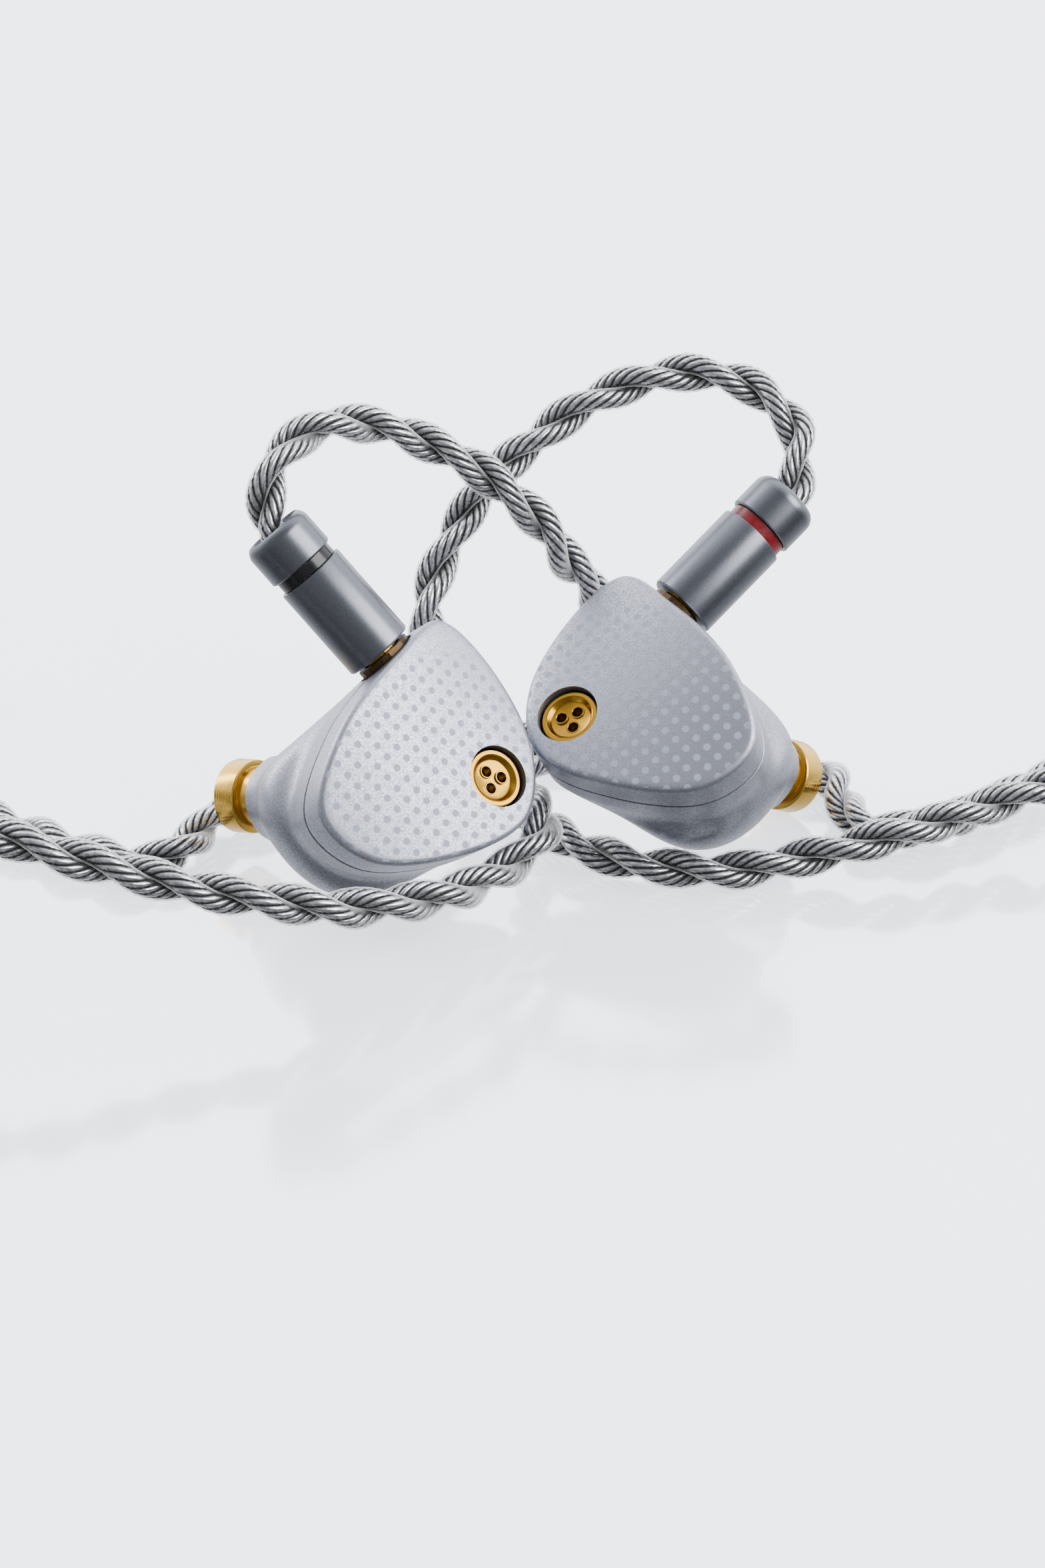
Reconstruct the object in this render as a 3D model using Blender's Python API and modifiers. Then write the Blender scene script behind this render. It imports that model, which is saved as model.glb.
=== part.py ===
"""A pair of in-ear monitors resting against each other on a table, with their cable.

Each earpiece is modelled in a frame of its own: x runs along the faceplate towards its
pointed tip (mirrored on the right earpiece), y runs up to the connector, and z points out
of the faceplate. The connector, the vent and the nozzle have frames of their own in it.
"""

import math

import bmesh
import bpy
from mathutils import Matrix, Vector

MM = 0.001
GAP = 0.3 * MM              # clearance between pieces that touch
ROUND = 20                  # sides of a turned piece

# Earpiece shells
OUTLINE = [(9.1, 6.9), (10.1, 2.5), (7.8, -5.5), (2.6, -9.4), (-4.5, -7.5),
           (-10.2, -2.8), (-10.7, 2.7), (-4.6, 6.5), (3.5, 7.45)]
OUTLINE_LENGTH = 60.5
OUTLINE_STEPS = 4           # points along each stretch of the outline
OUTLINE_MIDDLE = Vector((-0.5, -0.9))
OUTLINE_HALF = Vector((10.6, 8.4))
CROWN = 0.012               # fall of the faceplate either side of its ridge, per mm squared
RIDGE_X = -1.0
RIM_DEPTH = 2.75            # faceplate's edge to the seam
EDGE_RADIUS = 0.3
SHELL_WALL = 0.8 * MM
LOBE_POWER = 2 / 2.3        # how square the rear shell's lobe is

# Rear shell: depth, middle x and y, half width and height, roundness, tilt to the nozzle
REAR_SECTIONS = [
    (3.05, -0.5, -0.9, 10.6, 8.4, 0.0, 0.0),
    (5.0, -0.5, -0.9, 10.55, 8.35, 0.0, 0.0),
    (6.0, -0.7, -0.85, 10.2, 8.15, 0.05, 0.0),
    (6.7, -1.6, -0.6, 9.2, 7.9, 0.2, 0.0),
    (7.3, -3.4, -0.2, 7.4, 7.6, 0.5, 0.0),
    (8.2, -5.3, 0.0, 5.9, 7.4, 0.8, 0.0),
    (10.0, -5.8, 0.3, 5.4, 7.0, 1.0, 0.1),
    (11.6, -5.8, 0.8, 5.1, 6.4, 1.0, 0.2),
    (12.8, -5.7, 1.9, 4.5, 5.2, 1.0, 0.5),
    (13.6, -5.65, 3.0, 3.9, 4.0, 1.0, 0.8),
    (14.2, -5.7, 3.7, 3.55, 3.3, 1.0, 1.0),
    (15.2, -5.75, 4.25, 3.42, 3.05, 1.0, 1.0),
]

# Places in the earpiece's frame
CONNECTOR_AT = Vector((4.2, 8.0, -3.5))
VENT_AT = Vector((3.0, -5.3, -0.19))
VENT_TILT = math.radians(5.5)
VENT_RADIUS = 2.58
NOZZLE_AT = Vector((-6.1, 5.2, -16.9))
NOZZLE_AXIS = Vector((-0.16, 0.46, -0.87)).normalized()
DRIVER_AT = Vector((-4.0, -0.4, 0.0))
SOCKET_RADIUS = 2.45

# Connector plug, measured along the connector from its frame
BARREL_RADIUS = 2.93
BARREL_FOOT = 0.25
BARREL_TOP = 8.7
CAP_FOOT = 9.7
CAP_TOP = 13.5
CAP_ROUND = 1.2
CABLE_BORE = 2.15
CORD_START = 7.6

# Where each earpiece lies: its connector's frame, the connector's direction outwards,
# and the direction that the faceplate looks in
SIDES = {
    "left": {"mirror": 1, "at": (-11.26, -1.51, 18.86), "connector": (-0.6544, 0.2132, 0.7255),
             "face": (0.4504, -0.6608, 0.6004)},
    "right": {"mirror": -1, "at": (13.03, 7.61, 18.39), "connector": (0.6924, 0.4536, 0.5611),
              "face": (-0.2702, -0.558, 0.7846)},
}

# Cable: two branches join in a splitter, and the main cable below it is wound into a coil
BRANCH_RADIUS = 1.7
MAIN_RADIUS = 2.0
POINT_SPACING = 4.6
COIL_AT = Vector((-84.0, -5.0, 0.0))
COIL_INNER = 16.0
COIL_OUTER = 28.0
COIL_FOOT = 0.8
COIL_TOP = 8.8
ON_COIL = COIL_TOP + 0.45 + BRANCH_RADIUS      # height of a branch that lies on the coil
MAIN_ON_COIL = COIL_TOP + 0.3 + MAIN_RADIUS
INNER_TURN = 18.3
MIDDLE_TURN = 23.5
OUTER_TURN = 27.3
MAIN_TURN = 26.0

# Splitter and chin slider: a straight line on top of the coil, and places along it
SPLITTER_RADIUS = 4.8
SPLITTER_BORE = 2.0
BRANCH_OFFSET = 2.2
LINE_TURN = math.radians(-128)
LINE_MIDDLE = COIL_AT + 25.2 * Vector((math.cos(LINE_TURN), math.sin(LINE_TURN), 0))
LINE_DIRECTION = Vector((math.sin(LINE_TURN), -math.cos(LINE_TURN), 0))
LINE_HEIGHT = COIL_TOP + 0.3 + SPLITTER_RADIUS
SLIDER_MIDDLE = -4.6
SLIDER_HALF = Vector((4.9, 2.8, 3.4))
SPLITTER_TOP = 3.0
SPLITTER_END = 16.0

# Tie round the coil, and the jack on the floor behind it
TIE_TOP = ON_COIL + BRANCH_RADIUS + 0.8
TIE_WALL = 0.5
TIE_WIDTH = 6.0
JACK_AT = Vector((-84.5, 27.6, 3.3))

# The branches' routes outside the coil, after the straight start in the plug
LEFT_ROUTE = [
    (-20.4, 1.8, 31.0), (-19.8, 3.2, 33.1), (-18.0, 5.4, 34.6), (-15.0, 8.0, 34.8),
    (-11.9, 9.8, 33.9), (-8.8, 10.7, 32.5), (-6.3, 11.1, 31.1), (-3.6, 11.1, 29.5),
    (-1.1, 11.2, 27.2), (1.3, 11.7, 24.7), (3.1, 12.5, 21.7), (4.5, 13.4, 19.2),
    (6.0, 14.6, 16.9),
    (6.8, 15.0, 12.5), (5.4, 12.5, 8.6), (3.4, 8.0, 6.6), (1.3, 3.9, 6.1), (0.4, 0.6, 5.8),
    (0.9, -2.4, 5.7), (1.9, -5.0, 5.6), (1.4, -7.5, 5.0), (-0.4, -9.7, 4.2), (-2.5, -12.2, 4.1),
    (-5.6, -15.9, 4.7), (-9.5, -18.8, 5.5),
    (-14.6, -21.6, 6.6), (-19.7, -23.2, 8.3), (-24.8, -23.5, 9.4), (-29.9, -23.6, 10.9),
    (-34.9, -24.0, 12.6), (-40.0, -23.4, 14.0), (-46.0, -23.2, 14.7), (-52.0, -23.4, 15.0),
    (-58.0, -23.8, 15.1), (-64.5, -24.1, 15.0), (-70.0, -24.0, 14.9), (-75.5, -23.1, 14.6),
    (-80.5, -22.7, 12.8), (-85.6, -22.9, 11.3),
]
RIGHT_ROUTE = [
    (23.0, 15.9, 28.2), (23.0, 17.5, 29.8), (22.1, 18.9, 31.0), (20.5, 20.2, 32.1),
    (18.2, 21.1, 33.1), (15.5, 21.5, 33.6), (12.6, 21.4, 33.6), (9.7, 20.8, 33.1),
    (6.9, 20.0, 32.3), (3.8, 18.8, 30.9), (1.6, 17.8, 29.4), (-0.7, 16.8, 27.9),
    (-2.9, 15.6, 26.1), (-4.7, 14.1, 23.9), (-6.2, 12.5, 21.5), (-7.3, 10.8, 19.4),
    (-7.8, 9.2, 17.0), (-7.0, 8.6, 11.0),
    (-4.0, 7.6, 5.5), (-1.4, 5.4, 2.6), (0.6, 2.6, 1.8), (2.4, 0.1, 1.8), (4.8, -2.5, 1.8),
    (7.9, -4.9, 1.8), (11.9, -6.3, 1.8),
    (17.3, -6.8, 1.8), (22.8, -5.6, 2.2), (28.2, -5.0, 3.4), (33.8, -2.9, 4.0),
    (39.5, 0.2, 4.3), (43.3, 1.1, 5.3), (48.0, 0.9, 4.2), (53.0, 1.0, 2.6), (57.8, 3.0, 1.8),
    (60.0, 8.0, 1.75), (58.0, 12.9, 1.75), (53.2, 15.0, 1.75), (48.2, 12.7, 1.75),
    (45.2, 9.7, 1.75), (42.0, 7.0, 1.75), (38.5, 4.0, 1.75), (34.6, 1.3, 1.75),
    (31.0, 0.2, 1.75), (28.2, 1.4, 1.75), (27.1, 4.3, 1.75), (26.8, 7.6, 1.75),
    (25.2, 10.6, 1.75), (21.4, 13.6, 1.75), (12.0, 16.6, 1.75), (5.0, 17.0, 1.75),
    (-4.0, 15.5, 1.75), (-11.0, 12.0, 1.75), (-17.0, 8.0, 1.75), (-21.8, 5.3, 1.75),
    (-25.2, 2.6, 1.75), (-26.8, -0.8, 1.75), (-28.2, -4.0, 1.75), (-31.2, -5.2, 1.75),
    (-34.6, -4.0, 1.75),
    (-38.0, -2.0, 1.75), (-43.0, 1.5, 1.75), (-47.5, 3.8, 2.6), (-50.7, 3.6, 4.9),
    (-53.6, 2.1, 8.6), (-55.4, -0.4, 11.0),
]

BEAD_BLASTED = ((0.62, 0.63, 0.66), 0.45, 0.9)
SATIN_GREY = ((0.38, 0.40, 0.44), 0.35, 0.9)
GOLD = ((0.83, 0.60, 0.22), 0.2, 1.0)
BRASS = ((0.60, 0.42, 0.18), 0.35, 1.0)
STEEL = ((0.55, 0.55, 0.57), 0.4, 1.0)
DARK_PLASTIC = ((0.03, 0.03, 0.035), 0.5, 0.0)
WHITE_PLASTIC = ((0.80, 0.79, 0.75), 0.5, 0.0)
RED_GLOSS = ((0.45, 0.01, 0.02), 0.2, 0.0)
BLACK_GLOSS = ((0.01, 0.01, 0.012), 0.2, 0.0)
COPPER = ((0.65, 0.32, 0.18), 0.4, 1.0)
FILM = ((0.70, 0.66, 0.55), 0.35, 0.0)
SILVER_CORD = ((0.66, 0.66, 0.68), 0.3, 0.6)


def clear_scene():
    for item in list(bpy.data.objects):
        bpy.data.objects.remove(item, do_unlink=True)


def new_collection(name):
    collection = bpy.data.collections.new(name)
    bpy.context.scene.collection.children.link(collection)
    return collection


clear_scene()
PARTS = new_collection("in_ear_monitors")
CUTTERS = new_collection("cutters")
MATERIALS = {}


def material(name, look):
    if name not in MATERIALS:
        colour, roughness, metallic = look
        made = bpy.data.materials.new(name)
        made.use_nodes = True
        shader = made.node_tree.nodes["Principled BSDF"]
        shader.inputs["Base Color"].default_value = (*colour, 1.0)
        shader.inputs["Roughness"].default_value = roughness
        shader.inputs["Metallic"].default_value = metallic
        MATERIALS[name] = made
    return MATERIALS[name]


def add_object(name, data, parent=None, look=None, collection=None):
    item = bpy.data.objects.new(name, data)
    (collection or PARTS).objects.link(item)
    item.parent = parent
    if look:
        data.materials.append(material(name + "_finish", look))
    return item


def add_empty(name, parent=None, location=(0, 0, 0), axes=None):
    """An empty at location, in mm, whose axes are the columns given."""
    empty = bpy.data.objects.new(name, None)
    PARTS.objects.link(empty)
    turn = Matrix(axes).transposed().to_4x4() if axes else Matrix()
    empty.matrix_world = Matrix.Translation(Vector(location) * MM) @ turn
    if parent:
        empty.matrix_world = parent.matrix_world @ empty.matrix_world
        empty.parent = parent
        empty.matrix_parent_inverse = parent.matrix_world.inverted()
    return empty


def mark_cutter(item):
    item.hide_render = True
    item.display_type = "WIRE"
    return item


def cut(item, cutter, operation="DIFFERENCE"):
    boolean = item.modifiers.new("cut", "BOOLEAN")
    boolean.operation = operation
    boolean.object = cutter


def shade_round(mesh):
    mesh.shade_smooth()
    mesh.set_sharp_from_angle(angle=math.radians(35))


def turned(name, profile, parent, look=None, collection=None, sides=ROUND):
    """A solid turned about the parent's z. The profile's (radius, height) points, in mm,
    run down its outer side; a profile that leaves the axis open is closed into a ring."""
    mesh = bpy.data.meshes.new(name)
    mesh_edges = [(i, i + 1) for i in range(len(profile) - 1)]
    if min(radius for radius, height in profile) > 0:
        mesh_edges.append((len(profile) - 1, 0))
    mesh.from_pydata([(r * MM, 0, z * MM) for r, z in profile], mesh_edges, [])
    item = add_object(name, mesh, parent, look, collection)
    screw = item.modifiers.new("turn", "SCREW")
    screw.steps = sides
    screw.render_steps = sides
    screw.use_merge_vertices = True
    screw.merge_threshold = 0.000001
    screw.use_smooth_shade = True
    return item


def rod(name, radius, low, high, parent, look=None, collection=None, sides=ROUND, at=(0, 0)):
    """A plain cylinder between two heights of the parent's z, in mm."""
    work = bmesh.new()
    bmesh.ops.create_cone(work, cap_ends=True, segments=sides, radius1=radius * MM,
                          radius2=radius * MM, depth=(high - low) * MM)
    middle = Vector((at[0], at[1], (low + high) / 2)) * MM
    bmesh.ops.translate(work, vec=middle, verts=work.verts)
    mesh = bpy.data.meshes.new(name)
    work.to_mesh(mesh)
    work.free()
    return add_object(name, mesh, parent, look, collection)


def smooth_curve(points, spacing, closed=False):
    """Points a given distance apart on a smooth curve through the points given."""
    count = len(points)
    fine = []
    for i in range(count if closed else count - 1):
        before = points[i - 1] if closed or i > 0 else 2 * points[0] - points[1]
        start = points[i]
        end = points[(i + 1) % count]
        last = closed or i + 2 < count
        after = points[(i + 2) % count] if last else 2 * end - start
        gap_0 = (start - before).length ** 0.5
        gap_1 = (end - start).length ** 0.5
        gap_2 = (after - end).length ** 0.5
        leave = (start - before) / gap_0 - (end - before) / (gap_0 + gap_1) + (end - start) / gap_1
        arrive = (end - start) / gap_1 - (after - start) / (gap_1 + gap_2) + (after - end) / gap_2
        for step in range(16):
            s = step / 16
            fine.append((2 * s**3 - 3 * s**2 + 1) * start + (s**3 - 2 * s**2 + s) * leave * gap_1
                        + (3 * s**2 - 2 * s**3) * end + (s**3 - s**2) * arrive * gap_1)
    fine.append(points[0] if closed else points[-1])
    lengths = [0.0]
    for a, b in zip(fine, fine[1:]):
        lengths.append(lengths[-1] + (b - a).length)
    steps = max(2, round(lengths[-1] / spacing))
    even = []
    k = 0
    for step in range(steps if closed else steps + 1):
        want = lengths[-1] * step / steps
        while k < len(fine) - 2 and lengths[k + 1] < want:
            k += 1
        share = (want - lengths[k]) / (lengths[k + 1] - lengths[k])
        even.append(fine[k].lerp(fine[k + 1], min(1.0, share)))
    return even


def tube(name, points, radius, parent, look):
    """A round tube through points given in mm."""
    curve = bpy.data.curves.new(name, "CURVE")
    curve.dimensions = "3D"
    curve.bevel_depth = radius * MM
    curve.bevel_resolution = 2
    curve.use_fill_caps = True
    spline = curve.splines.new("POLY")
    spline.points.add(len(points) - 1)
    for place, point in zip(spline.points, points):
        place.co = (*(point * MM), 1.0)
    return add_object(name, curve, parent, look)


# --- earpiece shells ---------------------------------------------------------------------

def outline_points():
    """The faceplate's outline, evenly spaced, in mm."""
    corners = [Vector((x, y)) for x, y in OUTLINE]
    return smooth_curve(corners, OUTLINE_LENGTH / (OUTLINE_STEPS * len(OUTLINE)), closed=True)


FACE_OUTLINE = outline_points()


def crown_height(x):
    return -CROWN * (x - RIDGE_X) ** 2


def rim_ring(drop):
    """The outline, lowered by drop below the crowned face."""
    return [Vector((point.x, point.y, crown_height(point.x) - drop)) for point in FACE_OUTLINE]


def scaled_ring(share):
    ring = []
    for point in FACE_OUTLINE:
        moved = OUTLINE_MIDDLE + (point - OUTLINE_MIDDLE) * share
        ring.append(Vector((moved.x, moved.y, crown_height(moved.x))))
    return ring


def rear_ring(section):
    """One ring of the rear shell: from the faceplate's outline to a round collar."""
    depth, x, y, half_x, half_y, roundness, tilt = section
    crown_share = max(0.0, 1 - max(0.0, depth - 3.05) / 6)
    ring = []
    for point in FACE_OUTLINE:
        unit = Vector(((point.x - OUTLINE_MIDDLE.x) / OUTLINE_HALF.x,
                       (point.y - OUTLINE_MIDDLE.y) / OUTLINE_HALF.y))
        angle = math.atan2(unit.y, unit.x)
        round_unit = Vector((math.copysign(abs(math.cos(angle)) ** LOBE_POWER, math.cos(angle)),
                             math.copysign(abs(math.sin(angle)) ** LOBE_POWER, math.sin(angle))))
        unit = unit.lerp(round_unit, roundness)
        dx = half_x * unit.x
        dy = half_y * unit.y
        lean = -(NOZZLE_AXIS.x * dx + NOZZLE_AXIS.y * dy) / NOZZLE_AXIS.z
        z = -depth + tilt * lean + crown_share * crown_height(x + dx)
        ring.append(Vector((x + dx, y + dy, z)))
    return ring


def loft(rings, mirror, cap_first):
    """An open skin through rings of equal counts. Its faces point away from the inside."""
    work = bmesh.new()
    rows = []
    for ring in rings:
        rows.append([work.verts.new((mirror * p.x * MM, p.y * MM, p.z * MM)) for p in ring])
    for upper, lower in zip(rows, rows[1:]):
        for i in range(len(upper)):
            j = (i + 1) % len(upper)
            work.faces.new((upper[i], upper[j], lower[j], lower[i]))
    if cap_first:
        middle = work.verts.new((mirror * OUTLINE_MIDDLE.x * MM, OUTLINE_MIDDLE.y * MM,
                                 crown_height(OUTLINE_MIDDLE.x) * MM))
        first = rows[0]
        for i in range(len(first)):
            work.faces.new((middle, first[(i + 1) % len(first)], first[i]))
    bmesh.ops.recalc_face_normals(work, faces=work.faces)
    probe = max(work.faces, key=lambda face: face.calc_center_median().x)
    if probe.normal.x < 0:
        bmesh.ops.reverse_faces(work, faces=work.faces)
    return work


def shell(name, rings, side, parent, cap_first):
    work = loft(rings, side["mirror"], cap_first)
    mesh = bpy.data.meshes.new(name)
    work.to_mesh(mesh)
    work.free()
    shade_round(mesh)
    item = add_object(name, mesh, parent, BEAD_BLASTED)
    wall = item.modifiers.new("wall", "SOLIDIFY")
    wall.thickness = SHELL_WALL
    wall.offset = -1
    wall.use_even_offset = True
    return item


def faceplate(name, side, parent):
    rings = [scaled_ring(share) for share in (0.25, 0.5, 0.75, 0.9)]
    rings.append(rim_ring(0.0))
    rings.append(rim_ring(RIM_DEPTH))
    item = shell(name + "_faceplate", rings, side, parent, cap_first=True)
    edge = item.vertex_groups.new(name="front_edge")
    first = (len(rings) - 2) * len(FACE_OUTLINE)
    edge.add(list(range(first, first + len(FACE_OUTLINE))), 1.0, "REPLACE")
    bevel = item.modifiers.new("edge", "BEVEL")
    bevel.limit_method = "VGROUP"
    bevel.vertex_group = edge.name
    bevel.width = EDGE_RADIUS * MM
    bevel.segments = 2
    return item


def rear_shell(name, side, parent):
    rings = [rear_ring(section) for section in REAR_SECTIONS]
    return shell(name + "_rear_shell", rings, side, parent, cap_first=False)


# --- pieces inside and on an earpiece ----------------------------------------------------

def vent(name, frame):
    """The gold vent: a dished cap with three holes, and a fine screen behind it."""
    radius = VENT_RADIUS - 0.3
    cap = turned(name + "_vent_cap", [(0, -1.0), (1.85, -1.0), (2.05, -0.75), (radius, -0.75),
                                      (radius, -1.9), (0, -1.9)], frame, GOLD)
    for i in range(3):
        angle = math.radians(90 + 120 * i)
        at = (0.8 * math.cos(angle), 0.8 * math.sin(angle))
        drill = rod(f"{name}_vent_drill_{i}", 0.5, -3, 0, frame, collection=CUTTERS, sides=12, at=at)
        cut(cap, mark_cutter(drill))
    rod(name + "_vent_screen", 2.1, -2.35, -2.2, frame, STEEL)


def nozzle(name, frame):
    """The gold nozzle: a sleeve in the collar, a neck, and the lip that holds an ear tip."""
    turned(name + "_nozzle", [(2.75, 2.25), (3.05, 1.95), (3.05, 0.1), (2.95, 0.0), (2.5, 0.0),
                              (2.5, -1.6), (2.2, -1.6), (2.2, -5.0), (1.7, -5.0), (1.7, 1.3),
                              (2.3, 1.3), (2.3, 2.25)], frame, GOLD)
    screen = rod(name + "_nozzle_mesh", 2.0, 1.6, 1.8, frame, STEEL)
    for i in range(7):
        angle = math.radians(60 * i)
        reach = 0 if i == 6 else 1.15
        at = (reach * math.cos(angle), reach * math.sin(angle))
        drill = rod(f"{name}_mesh_drill_{i}", 0.3, 1, 2.5, frame, collection=CUTTERS, sides=8, at=at)
        cut(screen, mark_cutter(drill))
    rod(name + "_nozzle_damper", 1.4, -3.2, -1.6, frame, WHITE_PLASTIC)


def driver(name, frame):
    """A dynamic driver: its frame, the magnet behind and the diaphragm towards the nozzle."""
    turned(name + "_driver_frame", [(4.6, -3.5), (4.6, -7.1), (3.7, -7.1), (3.7, -6.8), (4.25, -6.8),
                                    (4.25, -4.0), (3.8, -4.0), (3.8, -3.5)], frame, DARK_PLASTIC)
    turned(name + "_driver_magnet", [(0, -3.7), (3.3, -3.7), (3.4, -3.8), (3.4, -5.4), (0, -5.4)],
           frame, STEEL)
    turned(name + "_driver_diaphragm", [(0, -6.55), (1.2, -6.4), (1.9, -5.95), (2.4, -6.2),
                                        (3.2, -6.1), (3.9, -5.8), (3.9, -5.95), (3.2, -6.25),
                                        (2.4, -6.35), (1.9, -6.1), (1.2, -6.55), (0, -6.7)],
           frame, FILM)


def socket(name, frame):
    """The round snap connector in the shell: body, insulator and centre contact."""
    turned(name + "_socket_body", [(SOCKET_RADIUS, -0.05), (SOCKET_RADIUS, -3.6), (1.2, -3.6),
                                   (1.2, -3.0), (1.85, -3.0), (1.85, -0.05)], frame, BRASS)
    turned(name + "_socket_insulator", [(1.5, -1.9), (1.5, -2.7), (0.8, -2.7), (0.8, -1.9)],
           frame, WHITE_PLASTIC)
    rod(name + "_socket_contact", 0.5, -4.4, -1.2, frame, GOLD)


def lead_wires(name, side, frame):
    """Two fine wires from the socket to the driver."""
    routes = {"signal": [(4.2, 3.1, -3.3), (3.3, 2.1, -3.6), (2.4, 1.5, -4.2), (1.4, 1.0, -4.9)],
              "ground": [(2.5, 4.0, -3.6), (1.9, 3.5, -3.9), (1.2, 2.9, -4.4), (0.8, 2.3, -5.0)]}
    for wire, route in routes.items():
        points = [Vector((side["mirror"] * x, y, z)) for x, y, z in route]
        tube(f"{name}_{wire}_wire", smooth_curve(points, 0.6), 0.2, frame, COPPER)


def plug(name, frame, ring_look):
    """The cable's plug: nose and pin, insulator, barrel, colour ring and rounded cap."""
    turned(name + "_plug_nose", [(1.75, 2.9), (1.75, 1.15), (1.45, 1.15), (1.45, -1.55),
                                 (0.85, -1.55), (0.85, 2.9)], frame, GOLD)
    rod(name + "_plug_pin", 0.5, -0.85, 5.2, frame, GOLD)
    turned(name + "_plug_insulator", [(1.8, 4.4), (1.8, 3.2), (0.85, 3.2), (0.85, 4.4)],
           frame, WHITE_PLASTIC)
    edge = 0.15
    turned(name + "_plug_barrel", [(BARREL_RADIUS - edge, BARREL_TOP),
                                   (BARREL_RADIUS, BARREL_TOP - edge),
                                   (BARREL_RADIUS, BARREL_FOOT + edge),
                                   (BARREL_RADIUS - edge, BARREL_FOOT), (1.8, BARREL_FOOT),
                                   (1.8, BARREL_FOOT + 0.6), (CABLE_BORE, BARREL_FOOT + 0.6),
                                   (CABLE_BORE, BARREL_TOP)], frame, SATIN_GREY)
    turned(name + "_marker_ring", [(2.6, CAP_FOOT - GAP / MM), (2.6, BARREL_TOP + GAP / MM),
                                   (CABLE_BORE, BARREL_TOP + GAP / MM),
                                   (CABLE_BORE, CAP_FOOT - GAP / MM)], frame, ring_look)
    end = []
    for step in range(4):
        angle = math.radians(48 - 48 * step / 3)
        end.append((BARREL_RADIUS - CAP_ROUND + CAP_ROUND * math.cos(angle),
                    CAP_TOP - CAP_ROUND + CAP_ROUND * math.sin(angle)))
    turned(name + "_plug_cap", end + [(BARREL_RADIUS, CAP_FOOT + edge),
                                      (BARREL_RADIUS - edge, CAP_FOOT), (CABLE_BORE, CAP_FOOT),
                                      (CABLE_BORE, CAP_TOP - CAP_ROUND)], frame, SATIN_GREY)


def perpendicular_axes(z_axis, up):
    """Three unit axes with the given z, and y as near to up as it can be."""
    z = Vector(z_axis).normalized()
    x = Vector(up).cross(z).normalized()
    return [x, z.cross(x), z]


def earpiece(name, side):
    """One earpiece with its plug; the joint of both is the connector's own axis."""
    mirror = side["mirror"]
    y_axis = Vector(side["connector"]).normalized()
    face = Vector(side["face"])
    z_axis = (face - face.dot(y_axis) * y_axis).normalized()
    x_axis = y_axis.cross(z_axis)
    pivot = add_empty(name + "_connector", location=side["at"], axes=[x_axis, y_axis, z_axis])
    offset = Vector((-mirror * CONNECTOR_AT.x, -CONNECTOR_AT.y, -CONNECTOR_AT.z))
    body = add_empty(name + "_body", pivot, offset)
    connector_axes = [Vector((1, 0, 0)), Vector((0, 0, -1)), Vector((0, 1, 0))]
    connector = add_empty(name + "_connector_axis", pivot, axes=connector_axes)
    vent_turn = [Vector((math.cos(VENT_TILT), 0, -mirror * math.sin(VENT_TILT))), Vector((0, 1, 0)),
                 Vector((mirror * math.sin(VENT_TILT), 0, math.cos(VENT_TILT)))]
    vent_at = Vector((mirror * VENT_AT.x, VENT_AT.y, VENT_AT.z))
    vent_frame = add_empty(name + "_vent", body, vent_at, vent_turn)
    axis = Vector((mirror * NOZZLE_AXIS.x, NOZZLE_AXIS.y, NOZZLE_AXIS.z))
    nozzle_at = Vector((mirror * NOZZLE_AT.x, NOZZLE_AT.y, NOZZLE_AT.z))
    nozzle_frame = add_empty(name + "_nozzle_axis", body, nozzle_at,
                             perpendicular_axes(axis, (0, 1, 0)))
    driver_frame = add_empty(name + "_driver", body,
                             Vector((mirror * DRIVER_AT.x, DRIVER_AT.y, DRIVER_AT.z)))

    front = faceplate(name, side, body)
    rear = rear_shell(name, side, body)
    vent_hole = rod(name + "_vent_hole", VENT_RADIUS, -4, 2, vent_frame, collection=CUTTERS)
    cut(front, mark_cutter(vent_hole))
    socket_hole = rod(name + "_socket_hole", SOCKET_RADIUS + 0.3, -5, 3, connector,
                      collection=CUTTERS)
    cut(front, mark_cutter(socket_hole))
    cut(rear, socket_hole)
    vent(name, vent_frame)
    nozzle(name, nozzle_frame)
    driver(name, driver_frame)
    socket(name, connector)
    lead_wires(name, side, body)
    plug(name, connector, BLACK_GLOSS if name == "left" else RED_GLOSS)
    return pivot


# --- cable -------------------------------------------------------------------------------

def on_coil(radius, degrees, height):
    """A place over the coil, by its turn from +x and its height."""
    turn = math.radians(degrees)
    return COIL_AT + Vector((radius * math.cos(turn), radius * math.sin(turn), height))


def on_line(along, offset=0.0):
    """A place on the splitter's line; the offset is outwards from the coil."""
    outwards = Vector((math.cos(LINE_TURN), math.sin(LINE_TURN), 0))
    return LINE_MIDDLE + LINE_DIRECTION * along + outwards * offset + Vector((0, 0, LINE_HEIGHT))


def plug_start(side):
    """The stretch of a branch inside its plug, and just out of it."""
    axis = Vector(side["connector"]).normalized()
    return [Vector(side["at"]) + axis * along for along in (CORD_START, 10.4, CAP_TOP + 0.3)]


def branch_end(offset):
    """The straight stretch through the slider into the splitter."""
    places = (SLIDER_MIDDLE - 5.6, SLIDER_MIDDLE - 2, SLIDER_MIDDLE + 2, SPLITTER_TOP + 4.5)
    return [on_line(along, offset) for along in places]


def left_branch():
    points = plug_start(SIDES["left"]) + [Vector(point) for point in LEFT_ROUTE]
    for degrees in range(-110, -436, -25):
        share = min(1.0, max(0.0, (-240 - degrees) / 100))
        radius = INNER_TURN + (MIDDLE_TURN - INNER_TURN) * share
        points.append(on_coil(radius, degrees, ON_COIL))
    points.append(Vector((-84.2, -29.9, 12.4)))
    return points + branch_end(-BRANCH_OFFSET)


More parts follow.
